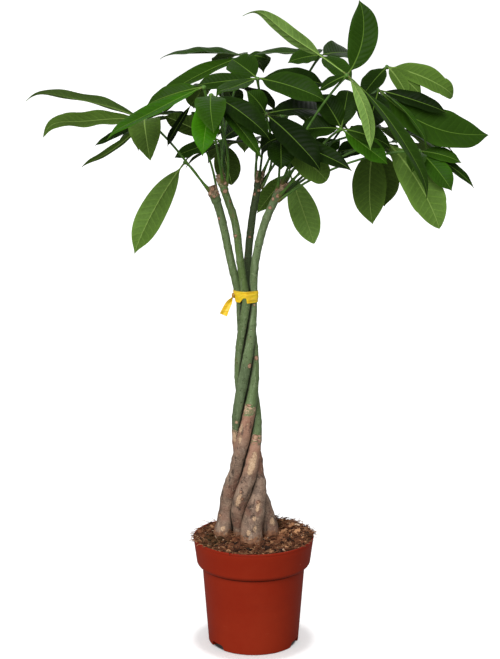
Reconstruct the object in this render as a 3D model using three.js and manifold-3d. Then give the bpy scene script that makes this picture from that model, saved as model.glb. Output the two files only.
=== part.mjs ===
// A potted money tree: a terracotta-coloured plastic pot filled with bark soil, four stems
// twisted round each other, a yellow ribbon tie and a crown of palmate leaves.
// Millimetres, +Z up, the front of the plant towards -Y, the middle of the pot's base at the origin.
import * as THREE from "three";
import { ConvexGeometry } from "three/addons/geometries/ConvexGeometry.js";
import Module from "manifold-3d";

const wasm = await Module();
wasm.setup();
const { Manifold } = wasm;

const gap = 0.3;

// Driving dimensions of the pot
const potHeight = 154;
const rimRadius = 85;
const collarBottom = 112;
const collarBottomRadius = 80.5;
const collarRound = 8;
const bodyTopRadius = 72.5;
const baseRadius = 64;
const potWall = 2;
const potFloor = 3;
const potSides = 36;
const edgeRound = 1;
const notchAngles = [-143, -23, 97];
const notchHeight = 8;
const notchDepth = 14;
const notchFoot = 28;
const notchTop = 25;
const notchCorner = 3;
const notchKnee = 0.7;

// Driving dimensions of the soil, which is banked up by its edge towards the wall of the pot
const soilTop = 149;
const soilRoughness = 2.5;
const soilEdge = 3;
const soilRings = [26, 50, 70, 82, 92];
const soilSectors = 18;
const soilBottom = -10;

// Driving dimensions of the stems. Each one stands on its foot, turns round the bundle's middle
// and leans out through the places of its lean, the last of which is its top.
const stemSides = 9;
const footDepth = 60;
const splayTop = 243;
const splayRoom = 5;
const splayTaper = 1.8;
const bundleTaper = 1.3;
const twistLevel = 233;
const twistRate = 1.05;
const twistEnd = 488;
const trunkMiddle = -9.5;
const bundleRadius = 9.6;
const bundleTopRadius = 5.4;
const bundleRoom = 1.05;
const headSwelling = 1.2;
const headRound = 0.6;
const stems = {
  left: {
    turn: 270, foot: [-19, 1], footRadius: 8, splay: 1.2, topRadius: 5.7,
    lean: [[-31, 4, 543], [-46, 7, 611], [-58, 9, 646]],
  },
  middle: {
    turn: 0, foot: [-3, -19], footRadius: 15.5, splay: 1.4, topRadius: 5,
    lean: [[-18, -12, 543], [-25, -16, 598], [-40, -21, 645], [-45, -22, 664]],
  },
  back: {
    turn: 180, foot: [-44, 6], footRadius: 12.5, splay: 0.82, topRadius: 4.8,
    lean: [[-8, 14, 543], [-2, 24, 600], [5, 31, 640], [10, 34, 664]],
  },
  right: {
    turn: 90, foot: [22, 8], footRadius: 14, splay: 1.15, topRadius: 5.5,
    lean: [[2, -9, 543], [15, -14, 598], [28, -17, 628], [42, -20, 654]],
  },
};

// Driving dimensions of the tie
const tieLevel = 496;
const tieHeight = 16;
const tieThickness = 1;
const tieEase = 1.07;
const knotRadius = 3;
const tailWidth = 9;
const tailSlant = [0.8, 0.3, -0.4];
const tailPlaces = [[-1, -1.5, 0], [-5, -4, -5], [-10, -7, -14], [-15, -9, -25]];

// Driving dimensions of the leaves
const petioleRadius = 2;
const petioleSides = 5;
const petioleBow = 0.12;
const hubRadius = 4;
const bladeThickness = 0.8;
const bladeFold = 0.22;
const bladeStations = [0, 0.08, 0.3, 0.58, 0.84, 1];
const bladeWidths = [0, 0, 0.78, 1, 0.65, 0];
const stalkWidth = 3;
const stalkThickness = 2;
const tipWidth = 1.6;

// The ways that the top side of a leaflet can face
const up = [0, 0, 1];
const viewer = [0, -0.8, 0.6];
const forward = [0, -1, 0.2];
const rear = [0, 1, 0.2];

// Each leaf has its stem, how far its root is below the stem's top, the angle round the stem from
// the way to the hub to the root, the place of its hub, and its leaflets.
// A leaflet is its tip's x, y and z, its width, how far its rib arches to its top side, the way
// its top side faces and, where its rib also bends sideways, how far.
const leaves = {
  left_long: { stem: "left", root: 5, spin: 20, hub: [-145, -10, 735], blades: [
    [-304, -10, 760, 42, 13, [0, 0.35, 1]],
    [-275, -60, 715, 44, 11, [0, -0.45, 1]],
    [-235, 20, 670, 16, -7, [0, 0.4, 0.9]],
    [-135, -65, 685, 44, 22, forward],
    [-160, 60, 690, 24, 8, up],
    [-215, 10, 700, 15, 0, [0, -0.6, 0.8]],
  ] },
  left_hanging: { stem: "left", root: 12, spin: 10, hub: [-95, 50, 675], blades: [
    [-165, 30, 550, 38, 8, rear, -5],
    [-65, 120, 690, 20, 8, up],
  ] },
  upper_left: { stem: "middle", root: 10, spin: 0, hub: [-65, -70, 780], blades: [
    [-140, -60, 755, 27, 6, viewer],
    [-185, -130, 715, 30, 4, [0, -0.45, 1]],
    [-80, -5, 750, 30, 4, up],
    [-115, -15, 700, 13, 4, viewer],
  ] },
  crown_middle: { stem: "back", root: 23, spin: 110, hub: [5, -10, 790], blades: [
    [95, -50, 760, 40, 8, viewer],
    [-50, -60, 765, 28, 3, [0, -0.5, 0.9]],
    [-30, 35, 815, 42, 2, viewer],
    [95, 10, 780, 34, 6, viewer],
    [-75, -20, 780, 24, 3, viewer],
  ] },
  crown_left: { stem: "middle", root: 2, spin: 10, hub: [-10, 75, 820], blades: [
    [-130, 75, 815, 36, 6, [0, -0.2, 1]],
    [-135, 25, 755, 34, 8, [0, -0.5, 1]],
    [20, 70, 815, 15, 3, viewer],
    [-55, 190, 800, 40, 8, up],
    [15, 200, 795, 38, 8, up],
  ] },
  bright_front: { stem: "middle", root: 16, spin: 60, hub: [-55, -80, 770], blades: [
    [-50, -150, 725, 40, 8, viewer, 2],
    [-65, -130, 695, 36, 8, viewer],
    [20, -115, 715, 34, 12, viewer],
    [10, -110, 690, 20, 8, viewer],
  ] },
  glossy_front: { stem: "back", root: 12, spin: 0, hub: [15, -60, 745], blades: [
    [85, -120, 675, 40, 10, viewer],
    [-25, -80, 730, 34, 8, viewer],
    [105, 50, 735, 38, 13, viewer],
    [-10, -75, 775, 28, 5, viewer],
  ] },
  inner_right: { stem: "right", root: 10, spin: -10, hub: [35, -60, 715], blades: [
    [95, -80, 660, 40, 6, rear],
    [35, -90, 675, 36, 6, viewer],
    [10, -35, 695, 28, 6, viewer],
    [125, -115, 675, 26, 6, viewer],
  ] },
  inner_small: { stem: "middle", root: 22, spin: 0, hub: [-45, 30, 705], blades: [
    [-30, 30, 645, 36, 6, rear],
    [-15, 95, 720, 30, 5, viewer],
    [-120, -5, 740, 26, 4, rear],
    [-110, 60, 680, 22, 4, viewer],
  ] },
  right_hanging: { stem: "right", root: 30, spin: 30, hub: [50, 60, 660], blades: [
    [85, 60, 560, 40, 8, rear],
    [5, 90, 600, 28, 6, rear],
    [125, 135, 700, 36, 6, viewer],
    [55, 150, 680, 36, 10, up],
  ] },
  right_tall: { stem: "right", root: 3, spin: -27, hub: [120, -70, 795], blades: [
    [135, -60, 890, 38, 4, forward, 12],
    [-15, -60, 870, 26, 9, [0, 0.65, 0.75]],
    [150, -90, 700, 19, 3, [-0.4, 0.85, 0.2], 12],
    [220, -120, 640, 29, 18, [0.5, -0.6, 0.6]],
    [85, -55, 775, 16, 3, viewer],
  ] },
  right_light: { stem: "right", root: 4, spin: 30, hub: [180, 20, 805], blades: [
    [270, 25, 765, 35, 12, viewer],
    [225, 0, 765, 24, 6, viewer],
    [205, -10, 765, 20, 6, viewer],
    [145, 0, 765, 28, 6, viewer],
  ] },
  right_far: { stem: "right", root: 9, spin: -20, hub: [165, -20, 775], blades: [
    [255, -30, 745, 24, 4, viewer],
    [315, -5, 715, 56, 2, viewer, 24],
    [225, -60, 700, 18, 10, [0.6, -0.35, 0.6]],
    [150, -50, 725, 42, 6, viewer],
  ] },
  right_inner: { stem: "right", root: 17, spin: -45, hub: [115, -40, 725], blades: [
    [175, -60, 680, 32, 2, viewer],
    [180, -40, 700, 28, 8, viewer],
    [60, -30, 720, 34, 6, viewer],
    [125, -20, 775, 34, 6, viewer],
    [85, -30, 770, 34, 6, viewer],
  ] },
  right_low: { stem: "right", root: 18, spin: 6, hub: [180, 0, 705], blades: [
    [245, -60, 595, 48, 10, forward, -6],
    [215, -20, 650, 24, 6, viewer],
    [245, 60, 675, 36, 10, up],
  ] },
  right_behind: { stem: "right", root: 22, spin: 32, hub: [165, 50, 695], blades: [
    [165, 40, 590, 48, 8, rear, -4],
    [185, 85, 610, 48, 6, rear, 4],
    [115, 80, 685, 30, 4, viewer],
    [200, 120, 675, 34, 10, up],
  ] },
  right_small: { stem: "right", root: 24, spin: -30, hub: [220, -30, 695], blades: [
    [260, -60, 645, 30, 6, viewer],
    [275, -40, 680, 22, 6, viewer],
    [295, -20, 645, 15, 6, viewer, -4],
    [205, -75, 670, 26, 6, viewer],
  ] },
  crown_right: { stem: "back", root: 6, spin: 90, hub: [90, 30, 820], blades: [
    [0, 60, 820, 30, 4, [0, -0.35, 1]],
    [45, 10, 810, 24, 4, viewer],
    [140, 110, 820, 42, 5, viewer],
    [130, -20, 785, 28, 5, viewer],
    [65, 120, 810, 34, 10, up],
  ] },
};

// The leaves at the back have their leaflets by rule, in a fan round their heading.
const backLeaves = {
  back_left: { stem: "left", root: 16, spin: -30, hub: [-90, 90, 735], heading: 130 },
  back_crown: { stem: "middle", root: 12, spin: -20, hub: [-45, 130, 775], heading: 115 },
  back_middle: { stem: "back", root: 12, spin: 60, hub: [42, 120, 735], heading: 95 },
  back_lower: { stem: "back", root: 25, spin: 15, hub: [5, 180, 695], heading: 100 },
  back_right: { stem: "back", root: 18, spin: -5, hub: [115, 125, 760], heading: 50 },
  back_far: { stem: "right", root: 14, spin: 40, hub: [175, 90, 715], heading: 35 },
};
const fanAngles = [-68, -34, 0, 34, 68];
const fanReach = 108;
const fanDrop = 30;
const fanWidth = 38;
const fanArch = 13;

const shades = {
  pot: { color: 0x9a3f22, roughness: 0.45 },
  soil: { color: 0x6b5040, roughness: 0.95 },
  bark: { color: 0x8f9a72, roughness: 0.75 },
  leaf: { color: 0x35602a, roughness: 0.4 },
  tie: { color: 0xebc030, roughness: 0.5 },
};

const vec = (values) => new THREE.Vector3(...values);
const mix = (a, b, share) => a + (b - a) * share;
const radians = THREE.MathUtils.degToRad;

// A random generator with a seed, so that every build is the same.
function seeded(seed) {
  let state = seed;
  return () => {
    state = (state * 1664525 + 1013904223) % 4294967296;
    return state / 4294967296;
  };
}

// A closed solid from a list of points and a list of triangles.
function solidOf(points, triangles) {
  const keys = new Map();
  const merged = [];
  const index = points.map((p) => {
    const key = [p.x, p.y, p.z].map((value) => Math.round(value * 1e4)).join();
    if (!keys.has(key)) {
      keys.set(key, keys.size);
      merged.push(p.x, p.y, p.z);
    }
    return keys.get(key);
  });
  const faces = triangles
    .map((face) => face.map((corner) => index[corner]))
    .filter(([a, b, c]) => a !== b && b !== c && c !== a);
  return new Manifold(new wasm.Mesh({
    numProp: 3,
    vertProperties: Float32Array.from(merged),
    triVerts: Uint32Array.from(faces.flat()),
  }));
}

// The same, from a three.js geometry.
function solidFrom(geometry) {
  const place = geometry.getAttribute("position");
  const points = [];
  for (let i = 0; i < place.count; i += 1) {
    points.push(new THREE.Vector3().fromBufferAttribute(place, i));
  }
  const order = geometry.index ? [...geometry.index.array] : points.map((_, i) => i);
  const triangles = [];
  for (let i = 0; i < order.length; i += 3) {
    triangles.push(order.slice(i, i + 3));
  }
  return solidOf(points, triangles);
}

// A named mesh with a material of its own, from a closed solid.
function meshOf(name, solid, shade) {
  const { vertProperties, triVerts, numProp } = solid.getMesh();
  const places = [];
  for (let i = 0; i < vertProperties.length; i += numProp) {
    places.push(vertProperties[i], vertProperties[i + 1], vertProperties[i + 2]);
  }
  const geometry = new THREE.BufferGeometry();
  geometry.setAttribute("position", new THREE.Float32BufferAttribute(places, 3));
  geometry.setIndex([...triVerts]);
  geometry.computeVertexNormals();
  const material = new THREE.MeshStandardMaterial({ ...shade, metalness: 0 });
  const mesh = new THREE.Mesh(geometry, material);
  mesh.name = name;
  return mesh;
}

// A skin over rings of points that turn the same way round, closed at both ends.
function skin(rings) {
  const sides = rings[0].length;
  const points = rings.flat();
  const triangles = [];
  for (let i = 0; i + 1 < rings.length; i += 1) {
    for (let j = 0; j < sides; j += 1) {
      const a = i * sides + j;
      const b = i * sides + ((j + 1) % sides);
      triangles.push([a, b, b + sides], [a, b + sides, a + sides]);
    }
  }
  const last = (rings.length - 1) * sides;
  for (let j = 1; j + 1 < sides; j += 1) {
    triangles.push([0, j + 1, j], [last, last + j, last + j + 1]);
  }
  return solidOf(points, triangles);
}

// A slab between two grids of points, with the same triangles on both faces.
function slab(top, bottom) {
  const rows = top.length;
  const columns = top[0].length;
  const under = rows * columns;
  const at = (row, column) => row * columns + column;
  const triangles = [];
  for (let i = 0; i + 1 < rows; i += 1) {
    for (let j = 0; j + 1 < columns; j += 1) {
      const [a, b, c, d] = [at(i, j), at(i, j + 1), at(i + 1, j + 1), at(i + 1, j)];
      const faces = j * 2 < columns - 1 ? [[a, b, c], [a, c, d]] : [[a, b, d], [b, c, d]];
      for (const [p, q, r] of faces) {
        triangles.push([p, q, r], [under + r, under + q, under + p]);
      }
    }
  }
  const along = Array.from({ length: columns - 1 }, (_, j) => j);
  const down = Array.from({ length: rows - 1 }, (_, i) => i);
  const edge = [
    ...along.map((j) => at(0, j)),
    ...down.map((i) => at(i, columns - 1)),
    ...along.map((j) => at(rows - 1, columns - 1 - j)),
    ...down.map((i) => at(rows - 1 - i, 0)),
  ];
  edge.forEach((a, i) => {
    const b = edge[(i + 1) % edge.length];
    triangles.push([b, a, under + a], [b, under + a, under + b]);
  });
  return solidOf([...top.flat(), ...bottom.flat()], triangles);
}

// Rings of points square to a path, one for each of its places.
function ringsAlong(places, radii, sides) {
  return places.map((place, i) => {
    const before = places[Math.max(0, i - 1)];
    const after = places[Math.min(places.length - 1, i + 1)];
    const ahead = after.clone().sub(before).normalize();
    const across = Math.abs(ahead.x) > 0.9 ? vec([0, 1, 0]) : vec([1, 0, 0]);
    across.addScaledVector(ahead, -across.dot(ahead)).normalize();
    const beside = ahead.clone().cross(across);
    return Array.from({ length: sides }, (_, j) => {
      const angle = (2 * Math.PI * j) / sides;
      return place.clone()
        .addScaledVector(across, radii[i] * Math.cos(angle))
        .addScaledVector(beside, radii[i] * Math.sin(angle));
    });
  });
}

// A turned solid round the pot's axis. The profile goes from the axis below to the axis above.
function turned(profile) {
  const outline = profile.map(([radius, height]) => new THREE.Vector2(radius, height));
  return solidFrom(new THREE.LatheGeometry(outline, potSides).rotateX(Math.PI / 2));
}

// Pot: a tapered body under a wider collar that is round at its lower edge.
function potOuter() {
  const knee = [];
  const kneeSteps = 3;
  for (let i = 0; i <= kneeSteps; i += 1) {
    const angle = (i / kneeSteps) * (Math.PI / 2);
    knee.push([
      collarBottomRadius - collarRound * (1 - Math.sin(angle)),
      collarBottom + collarRound * (1 - Math.cos(angle)),
    ]);
  }
  return turned([
    [0, 0],
    [baseRadius - edgeRound, 0],
    [baseRadius, edgeRound],
    [bodyTopRadius, collarBottom],
    ...knee,
    [rimRadius, potHeight - edgeRound],
    [rimRadius - edgeRound, potHeight],
    [0, potHeight],
  ]);
}

// The space inside the pot, smaller all round by the given room and open above the rim.
function potInner(room) {
  const above = potHeight + 6;
  return turned([
    [0, potFloor + room],
    [baseRadius - potWall - room, potFloor + room],
    [bodyTopRadius - potWall - room, collarBottom + collarRound * 0.5],
    [collarBottomRadius - potWall - room, collarBottom + collarRound * 1.5],
    [rimRadius - potWall - room, above],
    [0, above],
  ]);
}

// The pockets at the foot of the pot where water drains, bigger by the given room.
function notches(room) {
  const half = [
    [notchFoot / 2 + room, -1],
    [notchTop / 2 + room, notchHeight * notchKnee + room],
    [notchTop / 2 - notchCorner + room, notchHeight + room],
  ];
  const otherHalf = half.toReversed().map(([x, y]) => [-x, y]);
  const shape = new THREE.Shape([...half, ...otherHalf].map(([x, y]) => new THREE.Vector2(x, y)));
  return Manifold.union(notchAngles.map((angle) => {
    const geometry = new THREE.ExtrudeGeometry(shape, {
      depth: 2 * notchDepth + room,
      bevelEnabled: false,
    });
    geometry.rotateX(Math.PI / 2);
    geometry.rotateZ(Math.PI / 2);
    const block = solidFrom(geometry);
    const reach = block.boundingBox();
    const inner = baseRadius - notchDepth - room;
    return block.translate([inner - reach.min[0], 0, 0]).rotate([0, 0, angle]);
  }));
}

const potSolid = potOuter().subtract(notches(0))
  .subtract(potInner(0).subtract(notches(potWall)));

// The radius of a stem in the bundle at a height, and its place there.
function bundledRadius(z) {
  const share = THREE.MathUtils.clamp((tieLevel - z) / (tieLevel - splayTop), 0, 1);
  return mix(bundleTopRadius, bundleRadius, share ** bundleTaper);
}

function bundledPlace(stem, z, room = 0) {
  const angle = radians(stem.turn + (z - twistLevel) * twistRate);
  const reach = bundleRoom * Math.SQRT2 * bundledRadius(z) + gap + room;
  return vec([trunkMiddle + reach * Math.cos(angle), reach * Math.sin(angle), z]);
}

const soilContact = soilTop + soilEdge;

// A stem's route: straight in the soil, splayed up to the bundle, twisted, then out above the tie.
function stemPath(stem) {
  const foot = vec([...stem.foot, soilContact]);
  const places = [foot.clone().setZ(soilContact - footDepth), foot];
  const radii = [stem.footRadius, stem.footRadius];
  const splaySteps = 6;
  for (let i = 1; i <= splaySteps; i += 1) {
    const z = mix(soilContact, splayTop, i / splaySteps);
    const share = (1 - i / splaySteps) ** stem.splay;
    const room = splayRoom * Math.sin((Math.PI * i) / splaySteps);
    places.push(bundledPlace(stem, z, room).lerp(foot.clone().setZ(z), share));
    radii.push(mix(bundledRadius(z), stem.footRadius, (1 - i / splaySteps) ** splayTaper));
  }
  const twistSteps = 13;
  for (let i = 1; i <= twistSteps; i += 1) {
    const z = mix(splayTop, twistEnd, i / twistSteps);
    places.push(bundledPlace(stem, z));
    radii.push(bundledRadius(z));
  }
  const lean = new THREE.CatmullRomCurve3([places.at(-1), ...stem.lean.map(vec)]);
  const leanSteps = 8;
  for (let i = 1; i <= leanSteps; i += 1) {
    places.push(lean.getPoint(i / leanSteps));
    const swelling = i >= leanSteps - 1 ? headSwelling : 1;
    radii.push(mix(bundleTopRadius, stem.topRadius, i / leanSteps) * swelling);
  }
  return { places, radii };
}

const stemPaths = Object.fromEntries(
  Object.entries(stems).map(([name, stem]) => [name, stemPath(stem)]),
);

// A stem, thicker all round by the given room.
function stemSolid(name, room = 0) {
  const { places, radii } = stemPaths[name];
  const ahead = places.at(-1).clone().sub(places.at(-2)).normalize();
  const rounding = radii.at(-1) * headRound;
  const tip = places.at(-1).clone().addScaledVector(ahead, rounding);
  const reaches = [...radii, rounding].map((radius) => radius + room / Math.cos(Math.PI / stemSides));
  return skin(ringsAlong([...places, tip.addScaledVector(ahead, room)], reaches, stemSides));
}

// The middle of a stem at a height, its radius there and the way it runs.
function stemAt(name, height) {
  const { places, radii } = stemPaths[name];
  const i = places.findIndex((place) => place.z >= height);
  const share = (height - places[i - 1].z) / (places[i].z - places[i - 1].z);
  return {
    place: places[i - 1].clone().lerp(places[i], share),
    radius: mix(radii[i - 1], radii[i], share),
    ahead: places[i].clone().sub(places[i - 1]).normalize(),
  };
}

// Everything below the soil's rough top.
function soilBelowTop() {
  const random = seeded(17);
  const last = soilRings.length - 1;
  const points = [vec([0, 0, soilTop])];
  soilRings.forEach((reach, i) => {
    for (let j = 0; j < soilSectors; j += 1) {
      const angle = (2 * Math.PI * (j + 0.5 * (i % 2))) / soilSectors;
      const rise = (random() * 2 - 1) * soilRoughness + (i > 1 ? soilEdge : 0);
      points.push(vec([reach * Math.cos(angle), reach * Math.sin(angle), soilTop + rise]));
    }
  });
  const foot = points.slice(-soilSectors).map((place) => place.clone().setZ(soilBottom));
  const at = (ring, sector) => 1 + ring * soilSectors + (sector % soilSectors);
  const middle = points.length + soilSectors;
  const triangles = [];
  for (let j = 0; j < soilSectors; j += 1) {
    triangles.push([0, at(0, j), at(0, j + 1)], [middle, at(last + 1, j + 1), at(last + 1, j)]);
    for (let i = 0; i <= last; i += 1) {
      triangles.push([at(i, j), at(i + 1, j), at(i, j + 1)]);
      triangles.push([at(i + 1, j), at(i + 1, j + 1), at(i, j + 1)]);
    }
  }
  return solidOf([...points, ...foot, vec([0, 0, soilBottom])], triangles);
}

// Soil: it fills the pot, with a rough top and a plain hole for each stem.
function soilSolid() {
  const holes = Object.values(stems).map((stem) => {
    const room = gap / Math.cos(Math.PI / stemSides);
    const levels = [soilContact - footDepth - gap, potHeight + footDepth];
    const places = levels.map((z) => vec([...stem.foot, z]));
    const radii = levels.map(() => stem.footRadius + room);
    return skin(ringsAlong(places, radii, stemSides));
  });
  return potInner(gap)
    .subtract(notches(potWall + gap))
    .intersect(soilBelowTop())
    .subtract(Manifold.union(holes));
}

// The hull round the four stems at the tie's level, bigger by the given room.
function tieHull(room, height) {
  const corners = [];
  const turns = 16;
  for (const share of [-0.5, 0, 0.5]) {
    const z = tieLevel + share * height;
    for (const name of Object.keys(stems)) {
      const { place, radius } = stemAt(name, z);
      const reach = radius * tieEase + gap + room;
      for (let i = 0; i < turns; i += 1) {
        const angle = (2 * Math.PI * i) / turns;
        corners.push(vec([place.x + reach * Math.cos(angle), place.y + reach * Math.sin(angle), z]));
      }
    }
  }
  return solidFrom(new ConvexGeometry(corners));
}

// Tie: a ribbon drawn round the four stems, with a knot and a loose end that widens as it drops.
function tieSolid() {
  const outer = tieHull(tieThickness, tieHeight);
  const side = vec([outer.boundingBox().min[0] + 2, 0, tieLevel]);
  const path = tailPlaces.map((place) => side.clone().add(vec(place)));
  const rows = (room) => path.map((place, i) => [-0.5, 0.5].map((share) => {
    const width = tailWidth * (0.5 + 0.15 * i);
    return place.clone().addScaledVector(vec(tailSlant), share * width).add(vec([0, room, 0]));
  }));
  const tail = slab(rows(tieThickness / 2), rows(-tieThickness / 2));
  const knot = new THREE.IcosahedronGeometry(knotRadius, 1);
  knot.translate(side.x - 0.5, side.y - 1, side.z + 1);
  return Manifold.union([outer, tail, solidFrom(knot)])
    .subtract(tieHull(0, tieHeight * 1.5));
}

// A leaflet: a thin blade folded along its rib, with a thick stalk at the hub.
function bladeSolid(hub, [x, y, z, width, arch, face, sweep = 0]) {
  const start = vec(hub);
  const end = vec([x, y, z]);
  const chord = end.clone().sub(start).normalize();
  const top = vec(face);
  const bow = top.clone().addScaledVector(chord, -top.dot(chord)).normalize();
  const bend = bow.clone().multiplyScalar(arch).addScaledVector(chord.clone().cross(bow), sweep);
  const rib = new THREE.CubicBezierCurve3(
    start,
    start.clone().lerp(end, 0.33).addScaledVector(bend, 1.33),
    start.clone().lerp(end, 0.7).addScaledVector(bend, 1.33),
    end,
  );
  const upper = [];
  const lower = [];
  bladeStations.forEach((t, i) => {
    const place = rib.getPoint(t);
    const ahead = rib.getTangent(t);
    const normal = top.clone().addScaledVector(ahead, -top.dot(ahead)).normalize();
    const side = ahead.clone().cross(normal);
    const isStalk = bladeStations[i] < 0.1;
    const least = isStalk ? stalkWidth : tipWidth;
    const half = Math.max(least, bladeWidths[i] * width) / 2;
    const lift = bladeWidths[i] * half * bladeFold;
    const row = [-1, 0, 1].map((across) => place.clone()
      .addScaledVector(side, across * half)
      .addScaledVector(normal, Math.abs(across) * lift));
    const room = (isStalk ? stalkThickness : bladeThickness) / 2;
    upper.push(row.map((point) => point.clone().addScaledVector(normal, room)));
    lower.push(row.map((point) => point.clone().addScaledVector(normal, -room)));
  });
  return slab(upper, lower);
}

// The leaflets of a leaf at the back, each a little different.
function fanBlades({ hub, heading }, random) {
  const [x, y, z] = hub;
  const vary = (value, share) => value * (1 + share * (2 * random() - 1));
  return fanAngles.map((turn) => {
    const angle = radians(heading + vary(turn, 0.08));
    const reach = vary(fanReach, 0.15);
    const tip = [x + reach * Math.cos(angle), y + reach * Math.sin(angle), z - vary(fanDrop, 0.4)];
    return [...tip, vary(fanWidth, 0.1), fanArch, up];
  });
}

// A leaf's petiole: it leaves the side of its stem's top and bows up to the hub.
function petioleSolid(leaf) {
  const top = stems[leaf.stem].lean.at(-1)[2];
  const { place, radius, ahead } = stemAt(leaf.stem, top - leaf.root);
  const hub = vec(leaf.hub);
  const out = hub.clone().sub(place);
  out.addScaledVector(ahead, -out.dot(ahead)).normalize().applyAxisAngle(ahead, radians(leaf.spin));
  const root = place.clone().addScaledVector(out, radius * 0.8);
  const length = hub.distanceTo(root);
  const rise = out.clone().multiplyScalar(0.6).addScaledVector(ahead, 1.15);
  const curve = new THREE.CubicBezierCurve3(
    root,
    root.clone().addScaledVector(rise, length * 0.3),
    root.clone().lerp(hub, 0.65).add(vec([0, 0, length * petioleBow])),
    hub,
  );
  const places = curve.getPoints(5);
  const radii = places.map((_, i) => petioleRadius * (i === 0 ? 1.25 : 1));
  return skin(ringsAlong(places, radii, petioleSides));
}

// A leaf: the petiole, its hub and the leaflets are one piece.
function leafSolid(leaf) {
  const knot = new THREE.IcosahedronGeometry(hubRadius, 0);
  knot.translate(...leaf.hub);
  return Manifold.union([
    petioleSolid(leaf).subtract(stemSolid(leaf.stem, gap)),
    solidFrom(knot),
    ...leaf.blades.map((blade) => bladeSolid(leaf.hub, blade)),
  ]);
}

const plant = new THREE.Group();
plant.name = "potted_money_tree";
plant.add(meshOf("pot", potSolid, shades.pot));
plant.add(meshOf("soil", soilSolid(), shades.soil));
for (const name of Object.keys(stems)) {
  plant.add(meshOf(`stem_${name}`, stemSolid(name), shades.bark));
}
plant.add(meshOf("tie", tieSolid(), shades.tie));
for (const [name, leaf] of Object.entries(leaves)) {
  plant.add(meshOf(`leaf_${name}`, leafSolid(leaf), shades.leaf));
}
const random = seeded(5);
for (const [name, leaf] of Object.entries(backLeaves)) {
  const blades = fanBlades(leaf, random);
  plant.add(meshOf(`leaf_${name}`, leafSolid({ ...leaf, blades }), shades.leaf));
}

export default plant;
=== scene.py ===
import math
import random

import bpy
import numpy as np
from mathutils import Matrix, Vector, noise


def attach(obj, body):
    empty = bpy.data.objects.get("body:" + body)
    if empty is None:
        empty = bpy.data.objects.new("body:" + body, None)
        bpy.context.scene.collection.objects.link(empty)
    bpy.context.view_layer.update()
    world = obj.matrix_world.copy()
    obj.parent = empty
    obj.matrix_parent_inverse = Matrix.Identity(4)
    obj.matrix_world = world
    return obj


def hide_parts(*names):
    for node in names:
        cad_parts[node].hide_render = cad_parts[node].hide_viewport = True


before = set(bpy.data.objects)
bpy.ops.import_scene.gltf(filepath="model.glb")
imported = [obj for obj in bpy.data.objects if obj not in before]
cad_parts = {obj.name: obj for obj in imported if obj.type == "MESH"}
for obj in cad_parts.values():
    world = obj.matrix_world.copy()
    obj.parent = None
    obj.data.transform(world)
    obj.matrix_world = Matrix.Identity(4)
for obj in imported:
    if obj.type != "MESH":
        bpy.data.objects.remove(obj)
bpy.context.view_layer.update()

mm = 0.001
print("frame loaded:", len(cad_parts), "nodes")


# Small helpers for numbers and places. Places are in millimetres until a mesh is made.
def vec(*values):
    return np.array(values, float)


def unit(way):
    return way / np.linalg.norm(way, axis=-1, keepdims=True)


def mix(a, b, share):
    return a + (b - a) * share


def smooth(low, high, value):
    share = np.clip((value - low) / (high - low), 0, 1)
    return share * share * (3 - 2 * share)


def evenTurns(count):
    return np.linspace(0, 2 * math.pi, count, endpoint=False)


def polar(reach, angle, *rest):
    return (reach * math.cos(angle), reach * math.sin(angle), *rest)


def turnAbout(way, axis, angle):
    across = np.cross(axis, way)
    return way * math.cos(angle) + across * math.sin(angle) + axis * axis.dot(way) * (1 - math.cos(angle))


def cubic(corners, t):
    t = t[:, None]
    a, b, c, d = corners
    return a * (1 - t) ** 3 + 3 * b * t * (1 - t) ** 2 + 3 * c * t * t * (1 - t) + d * t ** 3


def grain(place, size, seed):
    # soft noise of -1 to 1 with features of the given size
    return noise.noise(Vector(place) / size + Vector((seed * 17.3, seed * 5.1, 0)))


def ringsAlong(places, radii, sides):
    # rings square to a path, and the angle of each point, counted from +x
    ahead = unit(np.gradient(places, axis=0))
    across = np.where(np.abs(ahead[:, :1]) > 0.9, vec(0, 1, 0), vec(1, 0, 0))
    across = unit(across - ahead * np.sum(across * ahead, axis=1, keepdims=True))
    beside = np.cross(ahead, across)
    angles = evenTurns(sides)
    ways = across[:, None] * np.cos(angles)[:, None] + beside[:, None] * np.sin(angles)[:, None]
    return places[:, None] + ways * radii.reshape(len(places), -1, 1), angles


# A skin gathers closed lumps and tubes, with a material for each face and named values for each point.
def newSkin():
    return {"points": [], "faces": [], "slots": [], "values": [], "count": 0}


def addLump(skin, points, faces, slots=0, **values):
    first, count = skin["count"], len(points)
    skin["points"].append(np.asarray(points, float))
    skin["faces"] += [[first + corner for corner in face] for face in faces]
    skin["slots"] += slots if isinstance(slots, list) else [slots] * len(faces)
    skin["values"].append((count, {key: np.full(count, value, float) for key, value in values.items()}))
    skin["count"] += count


def quadsBetween(count, sides):
    # the faces between rings of points, and the numbers of the first and last ring's points
    at = np.arange(count * sides).reshape(count, sides)
    beside = np.roll(at, -1, axis=1)
    quads = np.stack([at[:-1], beside[:-1], beside[1:], at[1:]], -1).reshape(-1, 4).tolist()
    return quads, at[0].tolist(), at[-1].tolist()


def addTube(skin, rings, slots=0, **values):
    count, sides = rings.shape[:2]
    quads, first, last = quadsBetween(count, sides)
    kinds = np.broadcast_to(slots, (count - 1, sides)).reshape(-1).tolist()
    spread = {key: np.broadcast_to(value, (count, sides)).reshape(-1) for key, value in values.items()}
    addLump(skin, rings.reshape(-1, 3), quads + [first[::-1], last], kinds + [kinds[0], kinds[-1]], **spread)


def linked(name, data):
    made = bpy.data.objects.new(name, data)
    bpy.context.scene.collection.objects.link(made)
    return made


def meshObject(name, skin):
    mesh = bpy.data.meshes.new(name)
    mesh.from_pydata((np.concatenate(skin["points"]) * mm).tolist(), [], skin["faces"])
    return linked(name, mesh)


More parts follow.
